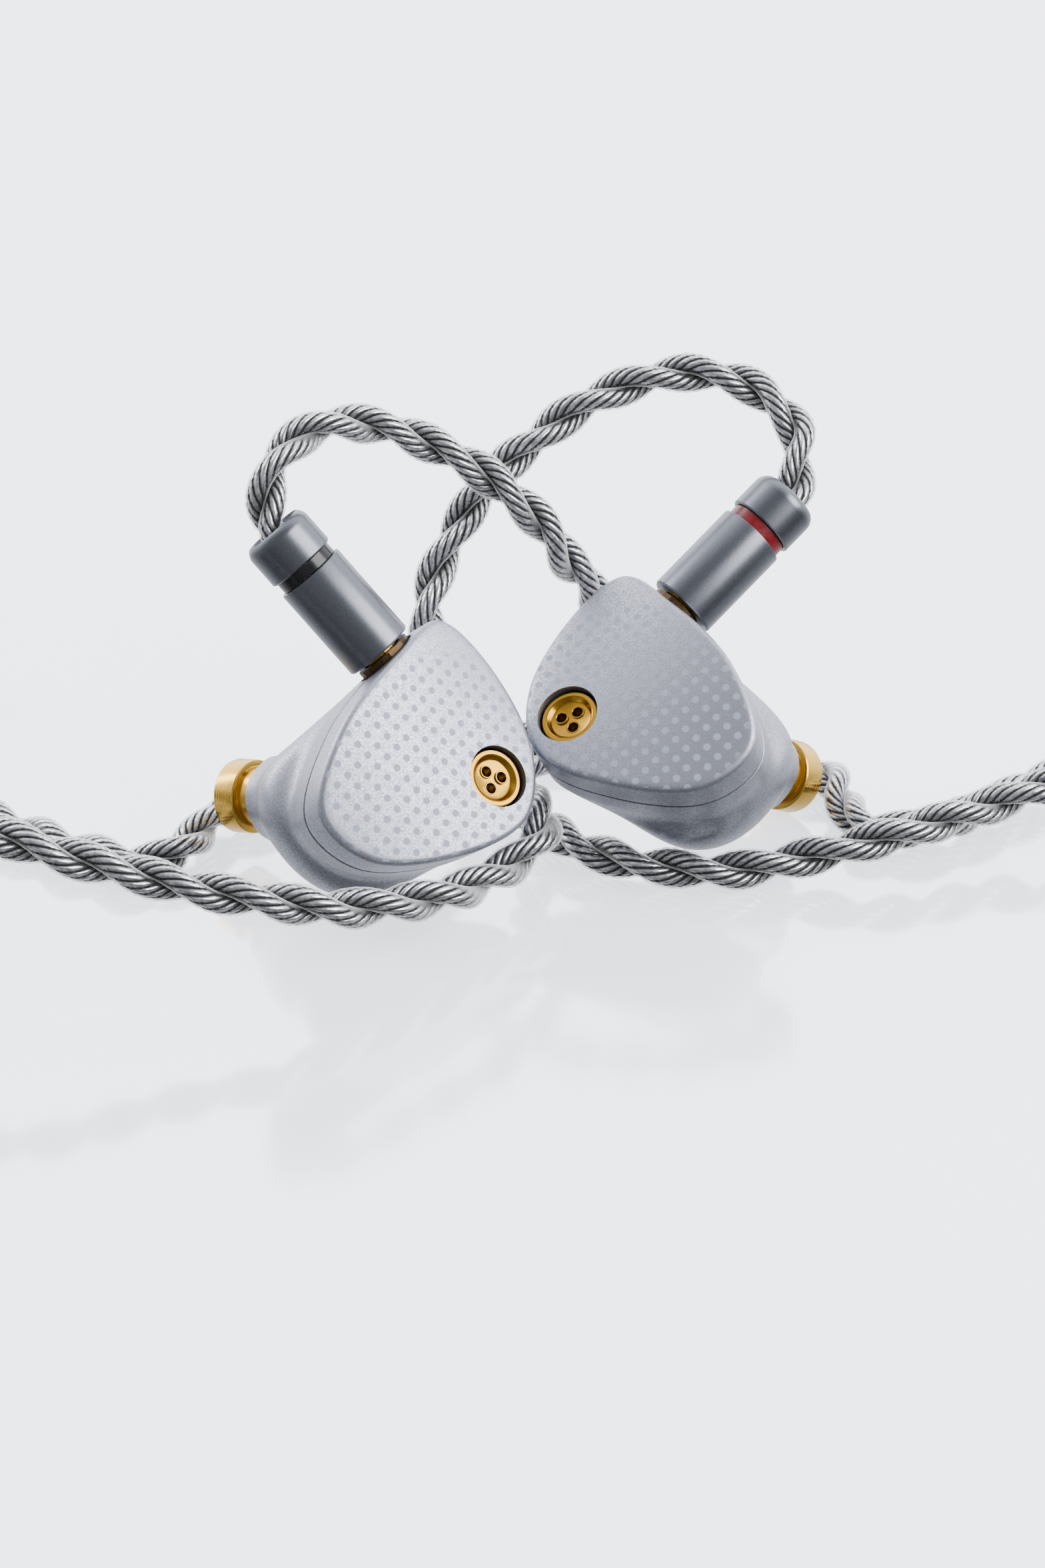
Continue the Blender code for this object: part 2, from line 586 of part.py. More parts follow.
def right_branch():
    points = plug_start(SIDES["right"]) + [Vector(point) for point in RIGHT_ROUTE]
    points += [on_coil(OUTER_TURN, degrees, ON_COIL) for degrees in (-5, -22, -40, -58, -74)]
    points.append(Vector((-85.6, -34.3, 12.6)))
    return points + branch_end(BRANCH_OFFSET)


def main_lead_in():
    """The main cable from the splitter onto the top of the coil."""
    points = [on_line(along) for along in (SPLITTER_END - 4.5, SPLITTER_END + 0.5)]
    points += [Vector((-115.2, -10.6, 13.4)), Vector((-114.8, -4.6, 12.4)),
               Vector((-112.3, 1.6, 11.5))]
    points += [on_coil(MAIN_TURN + 0.3, -205, MAIN_ON_COIL + 0.1)]
    points += [on_coil(MAIN_TURN, degrees, MAIN_ON_COIL + 0.1) for degrees in (-220, -235)]
    return points


def main_tail():
    """The main cable from the foot of the coil to the jack."""
    points = [on_coil(30.4, 113, MAIN_RADIUS), Vector((-91.6, 25.4, 2.1))]
    return points + [JACK_AT + Vector((along, 0, 0)) for along in (-1.5, 1.0, 5.0)]


def cord(name, points, radius, parent):
    return tube(name, smooth_curve(points, POINT_SPACING), radius, parent, SILVER_CORD)


def coil(parent):
    chamfer = 1.2
    profile = [(COIL_OUTER - chamfer, COIL_TOP), (COIL_OUTER, COIL_TOP - chamfer),
               (COIL_OUTER, COIL_FOOT + chamfer), (COIL_OUTER - chamfer, COIL_FOOT),
               (COIL_INNER + chamfer, COIL_FOOT), (COIL_INNER, COIL_FOOT + chamfer),
               (COIL_INNER, COIL_TOP - chamfer), (COIL_INNER + chamfer, COIL_TOP)]
    centre = add_empty("coil_middle", parent, COIL_AT)
    return turned("cable_coil", profile, centre, SILVER_CORD, sides=36)


def coil_tie(parent):
    """A flat strap round the coil and the branch that lies on it."""
    inner = Vector((COIL_INNER - 0.3, TIE_WALL))
    outer = Vector((COIL_OUTER + 0.3, TIE_TOP))
    half = TIE_WIDTH / 2
    work = bmesh.new()
    loops = []
    for grow in (TIE_WALL, 0.0):
        corners = [(inner.x - grow, inner.y - grow), (outer.x + grow, inner.y - grow),
                   (outer.x + grow, outer.y + grow), (inner.x - grow, outer.y + grow)]
        for x in (-half, half):
            loops.append([work.verts.new(Vector((x, y, z)) * MM) for y, z in corners])
    outer_low, outer_high, inner_low, inner_high = loops
    for first, second in ((outer_low, outer_high), (outer_high, inner_high),
                          (inner_high, inner_low), (inner_low, outer_low)):
        for i in range(4):
            j = (i + 1) % 4
            work.faces.new((first[i], first[j], second[j], second[i]))
    bmesh.ops.recalc_face_normals(work, faces=work.faces)
    mesh = bpy.data.meshes.new("coil_tie")
    work.to_mesh(mesh)
    work.free()
    centre = add_empty("tie_middle", parent, COIL_AT)
    return add_object("coil_tie", mesh, centre, DARK_PLASTIC)


def line_frame(name, parent, along):
    """A frame on the splitter's line: z along the cable, x outwards from the coil."""
    down = Vector((0, 0, -1))
    return add_empty(name, parent, on_line(along), [down.cross(LINE_DIRECTION), down,
                                                    LINE_DIRECTION])


def chin_slider(parent):
    """A flat bead on both branches."""
    frame = line_frame("slider_middle", parent, SLIDER_MIDDLE)
    half = SLIDER_HALF
    end_radius = half.y
    outline = []
    for centre_x, start in ((half.x - end_radius, -90), (end_radius - half.x, 90)):
        for step in range(9):
            turn = math.radians(start + 22.5 * step)
            outline.append((centre_x + end_radius * math.cos(turn), end_radius * math.sin(turn)))
    work = bmesh.new()
    rows = []
    for z, inset in ((-half.z, 0.4), (0.4 - half.z, 0.0), (half.z - 0.4, 0.0), (half.z, 0.4)):
        share = Vector(((half.x - inset) / half.x, (half.y - inset) / half.y))
        rows.append([work.verts.new(Vector((x * share.x, y * share.y, z)) * MM)
                     for x, y in outline])
    for lower, upper in zip(rows, rows[1:]):
        for i in range(len(outline)):
            j = (i + 1) % len(outline)
            work.faces.new((lower[i], lower[j], upper[j], upper[i]))
    work.faces.new(list(reversed(rows[0])))
    work.faces.new(rows[-1])
    mesh = bpy.data.meshes.new("chin_slider")
    work.to_mesh(mesh)
    work.free()
    slider = add_object("chin_slider", mesh, frame, SATIN_GREY)
    for offset in (-BRANCH_OFFSET, BRANCH_OFFSET):
        drill = rod(f"slider_drill_{offset:+.0f}", SPLITTER_BORE, -9, 9, frame,
                    collection=CUTTERS, at=(offset, 0))
        cut(slider, mark_cutter(drill))
    return slider


def y_splitter(parent):
    """The round splitter: two bores for the branches, one for the main cable."""
    frame = line_frame("splitter_top", parent, SPLITTER_TOP)
    length = SPLITTER_END - SPLITTER_TOP
    body = turned("y_splitter", [(0, length), (3.1, length), (3.4, length - 0.3), (4.5, length - 6),
                                 (SPLITTER_RADIUS, length - 7), (SPLITTER_RADIUS, 0.4),
                                 (SPLITTER_RADIUS - 0.4, 0), (0, 0)], frame, SATIN_GREY)
    for offset in (-BRANCH_OFFSET, BRANCH_OFFSET):
        drill = rod(f"splitter_drill_{offset:+.0f}", SPLITTER_BORE, -3, 5, frame,
                    collection=CUTTERS, at=(offset, 0))
        cut(body, mark_cutter(drill))
    drill = rod("splitter_drill_main", MAIN_RADIUS + 0.3, length - 5, length + 3, frame,
                collection=CUTTERS)
    cut(body, mark_cutter(drill))
    return body


def jack(parent):
    """A 3.5 mm jack, lying along +x: relief, barrel, and the pin's contacts in a row."""
    frame = add_empty("jack_axis", parent, JACK_AT,
                      [Vector((0, 1, 0)), Vector((0, 0, 1)), Vector((1, 0, 0))])
    bore = MAIN_RADIUS + 0.3
    turned("jack_relief", [(2.9, 8.0), (2.9, 7.0), (2.6, 1.0), (2.6, 0.0), (bore, 0.0),
                           (bore, 6.0), (1.0, 6.0), (1.0, 8.0)], frame, DARK_PLASTIC)
    turned("jack_barrel", [(2.2, 23.0), (2.9, 23.0), (3.2, 22.7), (3.2, 8.6), (2.9, 8.3),
                           (1.0, 8.3), (1.0, 21.5), (2.2, 21.5)], frame, SATIN_GREY)
    pin = 1.75
    turned("jack_sleeve", [(0.9, 31.0), (pin, 31.0), (pin, 23.3), (1.9, 23.3), (1.9, 21.8),
                           (0.9, 21.8)], frame, GOLD)
    rod("jack_insulator_1", 1.65, 31.3, 31.8, frame, DARK_PLASTIC)
    rod("jack_ring", pin, 32.1, 33.9, frame, GOLD)
    rod("jack_insulator_2", 1.65, 34.2, 34.7, frame, DARK_PLASTIC)
    turned("jack_tip", [(0, 37.0), (0.5, 37.0), (pin, 36.0), (1.3, 35.4), (pin, 35.2), (pin, 35.0),
                        (0, 35.0)], frame, GOLD)


def cable():
    root = add_empty("cable")
    cord("left_cord", left_branch(), BRANCH_RADIUS, root)
    cord("right_cord", right_branch(), BRANCH_RADIUS, root)
    cord("main_cord", main_lead_in(), MAIN_RADIUS, root)
    cord("tail_cord", main_tail(), MAIN_RADIUS, root)
    coil(root)
    coil_tie(root)
    chin_slider(root)
    y_splitter(root)
    jack(root)


for side_name, side_values in SIDES.items():
    earpiece(side_name, side_values)
cable()
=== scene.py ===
"""The looks of a pair of in-ear monitors on a table: metal shells, gold vents and nozzles,
and a cable of twisted silver strands in clear jackets.

Lengths are in mm until they become coordinates, which are in metres.
"""

import math

import bmesh
import bpy
import numpy as np
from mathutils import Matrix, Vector


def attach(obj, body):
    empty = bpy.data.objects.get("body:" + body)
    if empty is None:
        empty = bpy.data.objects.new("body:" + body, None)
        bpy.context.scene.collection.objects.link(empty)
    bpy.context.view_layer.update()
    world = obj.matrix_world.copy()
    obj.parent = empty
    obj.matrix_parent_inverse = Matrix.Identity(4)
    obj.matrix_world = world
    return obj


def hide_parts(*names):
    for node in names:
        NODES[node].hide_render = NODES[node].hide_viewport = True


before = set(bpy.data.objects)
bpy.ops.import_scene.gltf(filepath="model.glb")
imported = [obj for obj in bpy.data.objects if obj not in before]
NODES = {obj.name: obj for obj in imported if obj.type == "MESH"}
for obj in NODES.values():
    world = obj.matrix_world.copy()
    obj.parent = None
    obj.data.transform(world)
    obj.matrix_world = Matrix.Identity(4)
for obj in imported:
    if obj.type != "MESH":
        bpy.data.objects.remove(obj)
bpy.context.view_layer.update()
MM = 0.001

# The view: the camera looks down at the middle of the pair
VIEW_MIDDLE = Vector((0.115, -4.593, 8.568))
VIEW_DISTANCE = 353.0
VIEW_ELEVATION = math.radians(28)
LENS = 100
SENSOR = 36

# Edges that fold by more than these degrees stay sharp
SHARP = 32
NOZZLE_SHARP = 25
GOLD_SHARP = 20

# Sides of turned pieces
TURNED_SIDES = 96
RIM_SIDES = 48

# Colours
GOLD = ((0.60, 0.33, 0.04), (0.84, 0.54, 0.12))
BLACK = (0.02, 0.02, 0.022)
PLATE_COLOUR = (0.43, 0.443, 0.515)
DOT_COLOUR = (0.385, 0.415, 0.53)
REAR_COLOUR = (0.40, 0.413, 0.475)
SATIN_COLOUR = (0.15, 0.157, 0.18)
BLASTED_METALLIC = 0.95

# Earpieces, in their own frames: x to the faceplate's tip, y to the connector, z out of it
SIDES = {
    "left": {"mirror": 1, "at": (-11.26, -1.51, 18.86), "connector": (-0.6544, 0.2132, 0.7255),
             "face": (0.4504, -0.6608, 0.6004)},
    "right": {"mirror": -1, "at": (13.03, 7.61, 18.39), "connector": (0.6924, 0.4536, 0.5611),
              "face": (-0.2702, -0.558, 0.7846)},
}
CONNECTOR_AT = Vector((4.2, 8.0, -3.5))

# The faceplate's outline; its length is only for spacing the points
OUTLINE = [(9.1, 6.9), (10.1, 2.5), (7.8, -5.5), (2.6, -9.4), (-4.5, -7.5),
           (-10.2, -2.8), (-10.7, 2.7), (-4.6, 6.5), (3.5, 7.45)]
OUTLINE_LENGTH = 60.5
OUTLINE_POINTS = 144
CURVE_STEPS = 16
OUTLINE_MIDDLE = Vector((-0.5, -0.9))
OUTLINE_HALF = Vector((10.6, 8.4))

# The plate falls away from a ridge, by CROWN times the distance squared
CROWN = 0.012
RIDGE_X = -1.0
EDGE_RADIUS = 0.5
EDGE_STEPS = 6
# Rings of the faceplate's front and back, as shares of the way out from its middle
FACE_SHARES = (0.02, 0.15, 0.3, 0.45, 0.6, 0.75, 0.88, 0.96)
BACK_SHARES = (0.8, 0.5, 0.02)
SEAM_DEPTH = 2.85
SEAM_GAP = 0.22
SEAM_CHAMFER = 0.04
WALL = 0.8

# The faceplate's dots
DOT_PITCH = 1.18
DOT_RADIUS = 0.3
DOT_BLUR = 0.04
DOT_ORIGIN = (-2.28, 1.06)
# The area that the dots fill: middle, half-widths, and how square it is
DOTS_MIDDLE = (-0.6, -0.9)
DOTS_HALF = (10.3, 8.1)
DOTS_POWER = 2.3

# The rear shell. Each section: depth, middle x and y, half-widths x and y, roundness, and
# lean towards the nozzle. The first stretches between them are straight.
LOBE_POWER = 2 / 2.3
SECTION_STEPS = 5
STRAIGHT_SECTIONS = 2
SMOOTHING = 30
REAR_START = 3.05
CROWN_FADE = 6
REAR_SECTIONS = [
    (REAR_START, -0.5, -0.9, 10.6, 8.4, 0.0, 0.0),
    (5.0, -0.5, -0.9, 10.55, 8.35, 0.0, 0.0),
    (6.0, -0.7, -0.85, 10.2, 8.15, 0.05, 0.0),
    (6.7, -1.6, -0.6, 9.2, 7.9, 0.2, 0.0),
    (7.3, -3.4, -0.2, 7.4, 7.6, 0.5, 0.0),
    (8.2, -5.3, 0.0, 5.9, 7.4, 0.8, 0.0),
    (10.0, -5.8, 0.3, 5.4, 7.0, 1.0, 0.1),
    (11.6, -5.8, 0.8, 5.1, 6.4, 1.0, 0.2),
    (12.8, -5.7, 1.9, 4.5, 5.2, 1.0, 0.5),
    (13.6, -5.65, 3.0, 3.9, 4.0, 1.0, 0.8),
    (14.2, -5.7, 3.7, 3.55, 3.3, 1.0, 1.0),
    (15.2, -5.75, 4.25, 3.42, 3.05, 1.0, 1.0),
]

# Turned pieces: profiles are (radius, height) along the piece's axis
VENT_AT = Vector((3.0, -5.3, -0.19))
VENT_TILT = math.radians(5.5)
VENT_RADIUS = 2.58
VENT_PROFILE = [(0, -1.0), (1.55, -1.0), (1.66, -0.96), (1.94, -0.62), (2.02, -0.58),
                (2.3, -0.58), (2.38, -0.66), (2.38, -1.9), (0, -1.9)]
VENT_RIM = [(0.44, -1.5), (0.57, -1.5), (0.57, -0.93), (0.53, -0.9), (0.47, -0.9),
            (0.44, -0.93)]
VENT_HOLE_RADIUS = 0.47
VENT_HOLES_AT = 0.8
NOZZLE_AT = Vector((-6.1, 5.2, -16.9))
NOZZLE_AXIS = Vector((-0.16, 0.46, -0.87)).normalized()
NOZZLE_PROFILE = [(2.5, 2.25), (2.82, 2.22), (2.98, 2.1), (3.05, 1.85), (3.05, 0.14),
                  (3.0, 0.04), (2.9, 0.0), (2.55, 0.0), (2.5, -0.05), (2.5, -1.6), (2.2, -1.6),
                  (2.2, -5.0), (1.7, -5.0), (1.7, 1.3), (2.3, 1.3), (2.3, 2.05), (2.36, 2.2)]
SOCKET_HOLE = 2.75

# The plug, by its height along the connector's axis
BARREL_RADIUS = 2.93
BARREL_FOOT = 0.25
BARREL_TOP = 8.7
CAP_FOOT = 9.7
CAP_TOP = 13.5
CAP_ROUND = 1.2
CAP_ARC = 52
CAP_STEPS = 8
PLUG_CHAMFER = 0.12
RING_RADIUS = 2.62
RING_GAP = 0.05
NOSE_BORE = 1.8
NOSE_DEPTH = 0.6
CABLE_BORE = 2.15

# Cable: a branch's start in its plug, heights and turns on the coil, and the straight line
# over the coil that the slider and the splitter are on
IN_PLUG = (7.6, 10.4, CAP_TOP + 0.3)
BRANCH_RADIUS = 1.7
MAIN_RADIUS = 2.0
COIL_AT = Vector((-84.0, -5.0, 0.0))
COIL_TOP = 8.8
GAP = 0.3
ON_COIL = COIL_TOP + 0.45 + BRANCH_RADIUS
INNER_TURN = 18.3
MIDDLE_TURN = 23.5
OUTER_TURN = 27.3
MAIN_TURN = 26.0
MAIN_ON_COIL = COIL_TOP + GAP + MAIN_RADIUS
LINE_TURN = math.radians(-128)
LINE_RADIUS = 25.2
LINE_MIDDLE = COIL_AT + LINE_RADIUS * Vector((math.cos(LINE_TURN), math.sin(LINE_TURN), 0))
LINE_DIRECTION = Vector((math.sin(LINE_TURN), -math.cos(LINE_TURN), 0))
SPLITTER_RADIUS = 4.8
LINE_HEIGHT = COIL_TOP + GAP + SPLITTER_RADIUS
BRANCH_OFFSET = 2.2
SLIDER_MIDDLE = -4.6
SPLITTER_TOP = 3.0
SPLITTER_END = 16.0
JACK_AT = Vector((-84.5, 27.6, 3.3))

# Cords: two lobes of silver strand in clear jackets
STRAND_RADIUS = 0.81
STRAND_SIDES = 12
JACKET_RADIUS = 0.93
JACKET_SIDES = 14
BRANCH_SPACING = 0.5
MAIN_SPACING = 1.0
STRAND_OFFSET = 0.77
TWIST_LENGTH = 11.2
WIRES = 7
WIRE_TWIST = 1.66
# Radius and height that each turn of the coil goes to, and how far it swings out on the way
COIL_LAY = [(26, 6.8, 1.8), (22, 6.8, 0), (18, 6.8, 0), (18, 2.8, -2.2), (22, 2.8, 0),
            (26, 2.8, 0)]

# Degrees between points on the coil, and over which a turn moves to its new place
LAY_STEP = 20
LAY_CHANGE = 50

# Light. The world's brightness: the axis it rises along, from where to where, and the
# strengths it goes between. Each lamp: name, place, size and power.
WORLD_RISES = [("Y", -0.3, 0.9, 0.45, 3.8), ("Z", -0.25, 0.15, 0.5, 1.0)]
FLOOR_SIZE = 12.0
FLOOR_GLOW = 2.6
STUDIO_LIGHTS = [("key", (0.9, -0.35, 0.65), (0.9, 0.7), 18.0),
                 ("rim", (-0.9, 0.5, 0.6), (0.3, 0.9), 6.0)]

# The branches' routes outside the coil, after the straight start in the plug
LEFT_ROUTE = [
    (-20.4, 1.8, 31.0), (-19.8, 3.2, 33.1), (-18.0, 5.4, 34.6), (-15.0, 8.0, 34.8),
    (-11.9, 9.8, 33.9), (-8.8, 10.7, 32.5), (-6.3, 11.1, 31.1), (-3.6, 11.1, 29.5),
    (-1.1, 11.2, 27.2), (1.3, 11.7, 24.7), (3.1, 12.5, 21.7), (4.5, 13.4, 19.2),
    (6.0, 14.6, 16.9),
    (6.8, 15.0, 12.5), (5.4, 12.5, 8.6), (3.4, 8.0, 6.6), (1.3, 3.9, 6.1), (0.4, 0.6, 5.8),
    (0.9, -2.4, 5.7), (1.9, -5.0, 5.6), (1.4, -7.5, 5.0), (-0.4, -9.7, 4.2), (-2.5, -12.2, 4.1),
    (-5.6, -15.9, 4.7), (-9.5, -18.8, 5.5),
    (-14.6, -21.6, 6.6), (-19.7, -23.2, 8.3), (-24.8, -23.5, 9.4), (-29.9, -23.6, 10.9),
    (-34.9, -24.0, 12.6), (-40.0, -23.4, 14.0), (-46.0, -23.2, 14.7), (-52.0, -23.4, 15.0),
    (-58.0, -23.8, 15.1), (-64.5, -24.1, 15.0), (-70.0, -24.0, 14.9), (-75.5, -23.1, 14.6),
    (-80.5, -22.7, 12.8), (-85.6, -22.9, 11.3),
]
RIGHT_ROUTE = [
    (23.0, 15.9, 28.2), (23.0, 17.5, 29.8), (22.1, 18.9, 31.0), (20.5, 20.2, 32.1),
    (18.2, 21.1, 33.1), (15.5, 21.5, 33.6), (12.6, 21.4, 33.6), (9.7, 20.8, 33.1),
    (6.9, 20.0, 32.3), (3.8, 18.8, 30.9), (1.6, 17.8, 29.4), (-0.7, 16.8, 27.9),
    (-2.9, 15.6, 26.1), (-4.7, 14.1, 23.9), (-6.2, 12.5, 21.5), (-7.3, 10.8, 19.4),
    (-7.8, 9.2, 17.0), (-7.0, 8.6, 11.0),
    (-4.0, 7.6, 5.5), (-1.4, 5.4, 2.6), (0.6, 2.6, 1.8), (2.4, 0.1, 1.8), (4.8, -2.5, 1.8),
    (7.9, -4.9, 1.8), (11.9, -6.3, 1.8),
    (17.3, -6.8, 1.8), (22.8, -5.6, 2.2), (28.2, -5.0, 3.4), (33.8, -2.9, 4.0),
    (39.5, 0.2, 4.3), (43.3, 1.1, 5.3), (48.0, 0.9, 4.2), (53.0, 1.0, 2.6), (57.8, 3.0, 1.8),
    (60.0, 8.0, 1.75), (58.0, 12.9, 1.75), (53.2, 15.0, 1.75), (48.2, 12.7, 1.75),
    (45.2, 9.7, 1.75), (42.0, 7.0, 1.75), (38.5, 4.0, 1.75), (34.6, 1.3, 1.75),
    (31.0, 0.2, 1.75), (28.2, 1.4, 1.75), (27.1, 4.3, 1.75), (26.8, 7.6, 1.75),
    (25.2, 10.6, 1.75), (21.4, 13.6, 1.75), (12.0, 16.6, 1.75), (5.0, 17.0, 1.75),
    (-4.0, 15.5, 1.75), (-11.0, 12.0, 1.75), (-17.0, 8.0, 1.75), (-21.8, 5.3, 1.75),
    (-25.2, 2.6, 1.75), (-26.8, -0.8, 1.75), (-28.2, -4.0, 1.75), (-31.2, -5.2, 1.75),
    (-34.6, -4.0, 1.75),
    (-38.0, -2.0, 1.75), (-43.0, 1.5, 1.75), (-47.5, 3.8, 2.6), (-50.7, 3.6, 4.9),
    (-53.6, 2.1, 8.6), (-55.4, -0.4, 11.0),
]


def blend(start, leave, end, arrive, s):
    """A place on the smooth curve between two points, from its directions at both."""
    return ((2 * s**3 - 3 * s**2 + 1) * start + (s**3 - 2 * s**2 + s) * leave
            + (3 * s**2 - 2 * s**3) * end + (s**3 - s**2) * arrive)


def smooth_curve(points, spacing, closed=False):
    """Points a given distance apart on a smooth curve through the points given."""
    count = len(points)
    fine = []
    for i in range(count if closed else count - 1):
        before = points[i - 1] if closed or i > 0 else 2 * points[0] - points[1]
        start = points[i]
        end = points[(i + 1) % count]
        last = closed or i + 2 < count
        after = points[(i + 2) % count] if last else 2 * end - start
        gap_0 = (start - before).length ** 0.5
        gap_1 = (end - start).length ** 0.5
        gap_2 = (after - end).length ** 0.5
        leave = (start - before) / gap_0 - (end - before) / (gap_0 + gap_1) + (end - start) / gap_1
        arrive = (end - start) / gap_1 - (after - start) / (gap_1 + gap_2) + (after - end) / gap_2
        fine += [blend(start, leave * gap_1, end, arrive * gap_1, step / CURVE_STEPS)
                 for step in range(CURVE_STEPS)]
    fine.append(points[0] if closed else points[-1])
    lengths = [0.0]
    for a, b in zip(fine, fine[1:]):
        lengths.append(lengths[-1] + (b - a).length)
    steps = max(2, round(lengths[-1] / spacing))
    even = []
    k = 0
    for step in range(steps if closed else steps + 1):
        want = lengths[-1] * step / steps
        while k < len(fine) - 2 and lengths[k + 1] < want:
            k += 1
        share = (want - lengths[k]) / (lengths[k + 1] - lengths[k])
        even.append(fine[k].lerp(fine[k + 1], min(1.0, share)))
    return even


def view_objects():
    """The camera, looking down at the pair along -y."""
    data = bpy.data.cameras.new("camera")
    data.lens = LENS
    data.sensor_width = SENSOR
    data.clip_start = 0.01
    camera = bpy.data.objects.new("camera", data)
    bpy.context.scene.collection.objects.link(camera)
    back = Vector((0, -math.cos(VIEW_ELEVATION), math.sin(VIEW_ELEVATION)))
    camera.location = (VIEW_MIDDLE + back * VIEW_DISTANCE) * MM
    camera.rotation_euler = (math.pi / 2 - VIEW_ELEVATION, 0, 0)
    bpy.context.scene.camera = camera


# --- materials ---------------------------------------------------------------------------

class Look:
    """A material's nodes, added one at a time."""

    def __init__(self, name, colour, roughness, metallic=0.0):
        self.material = bpy.data.materials.new(name)
        self.material.use_nodes = True
        self.nodes = self.material.node_tree.nodes
        self.links = self.material.node_tree.links
        self.shader = self.nodes["Principled BSDF"]
        self.shader.inputs["Base Color"].default_value = (*colour, 1.0)
        self.shader.inputs["Roughness"].default_value = roughness
        self.shader.inputs["Metallic"].default_value = metallic
        self.place = self.add("ShaderNodeTexCoord").outputs["Object"]

    def add(self, kind, **values):
        """A node with some of its properties set."""
        node = self.nodes.new(kind)
        for key, value in values.items():
            setattr(node, key, value)
        return node

    def feed(self, value, socket):
        """Links or sets an input."""
        if isinstance(value, bpy.types.NodeSocket):
            self.links.new(value, socket)
        else:
            socket.default_value = value

    def math(self, operation, first, second=0.0):
        node = self.add("ShaderNodeMath", operation=operation)
        self.feed(first, node.inputs[0])
        self.feed(second, node.inputs[1])
        return node.outputs[0]

    def along(self, direction, point):
        """How far the surface is along a direction from a point, in mm."""
        shift = self.add("ShaderNodeVectorMath", operation="SUBTRACT")
        self.links.new(self.place, shift.inputs[0])
        shift.inputs[1].default_value = Vector(point) * MM
        dot = self.add("ShaderNodeVectorMath", operation="DOT_PRODUCT")
        self.links.new(shift.outputs[0], dot.inputs[0])
        dot.inputs[1].default_value = Vector(direction) / MM
        return dot.outputs["Value"]

    def noise(self, per_mm, detail=2.0):
        node = self.add("ShaderNodeTexNoise")
        self.links.new(self.place, node.inputs["Vector"])
        node.inputs["Scale"].default_value = per_mm / MM
        node.inputs["Detail"].default_value = detail
        return node.outputs["Fac"]

    def turned(self, axis, point, per_mm, detail=2.0):
        """Noise that changes along an axis only, like the rings that turning leaves."""
        node = self.add("ShaderNodeTexNoise", noise_dimensions="1D")
        self.links.new(self.along(axis, point), node.inputs["W"])
        node.inputs["Scale"].default_value = per_mm
        node.inputs["Detail"].default_value = detail
        return node.outputs["Fac"]

    def between(self, value, low, high, out_low=0.0, out_high=1.0):
        """A value's way from low to high, as a number between two others."""
        node = self.add("ShaderNodeMapRange")
        self.links.new(value, node.inputs["Value"])
        for name, number in (("From Min", low), ("From Max", high), ("To Min", out_low),
                             ("To Max", out_high)):
            node.inputs[name].default_value = number
        return node.outputs["Result"]

    def mix(self, share, first, second):
        """A colour between two."""
        node = self.add("ShaderNodeMix", data_type="RGBA")
        self.feed(share, node.inputs["Factor"])
        for colour, socket in ((first, node.inputs[6]), (second, node.inputs[7])):
            if not isinstance(colour, bpy.types.NodeSocket):
                colour = (*colour, 1.0)
            self.feed(colour, socket)
        return node.outputs[2]

    def colour(self, value):
        self.feed(value, self.shader.inputs["Base Color"])

    def rough(self, value):
        self.feed(value, self.shader.inputs["Roughness"])

    def glow(self, colour, strength):
        self.shader.inputs["Emission Color"].default_value = (*colour, 1.0)
        self.shader.inputs["Emission Strength"].default_value = strength

    def bump(self, height, depth, strength=1.0):
        node = self.add("ShaderNodeBump")
        self.feed(height, node.inputs["Height"])
        node.inputs["Distance"].default_value = depth * MM
        node.inputs["Strength"].default_value = strength
        self.links.new(node.outputs[0], self.shader.inputs["Normal"])


def tinted(colour, factor, lift=0.0):
    """A darker or lighter colour."""
    return tuple(min(1.0, channel * factor + lift) for channel in colour)


def blasted_metal(name, colour):
    """Bead-blasted aluminium: fine grain that sparkles, and a slight unevenness."""
    look = Look(name, colour, 0.46, BLASTED_METALLIC)
    grain = look.noise(7.0, 3.0)
    patches = look.noise(0.12)
    darker = tinted(colour, 0.76)
    grained = look.mix(look.between(grain, 0.36, 0.64), darker, tinted(colour, 1.14))
    look.colour(look.mix(look.between(patches, 0.3, 0.7, 0.0, 0.22), grained, darker))
    look.rough(look.between(grain, 0.35, 0.65, 0.52, 0.38))
    look.bump(grain, 0.012, 0.5)
    return look


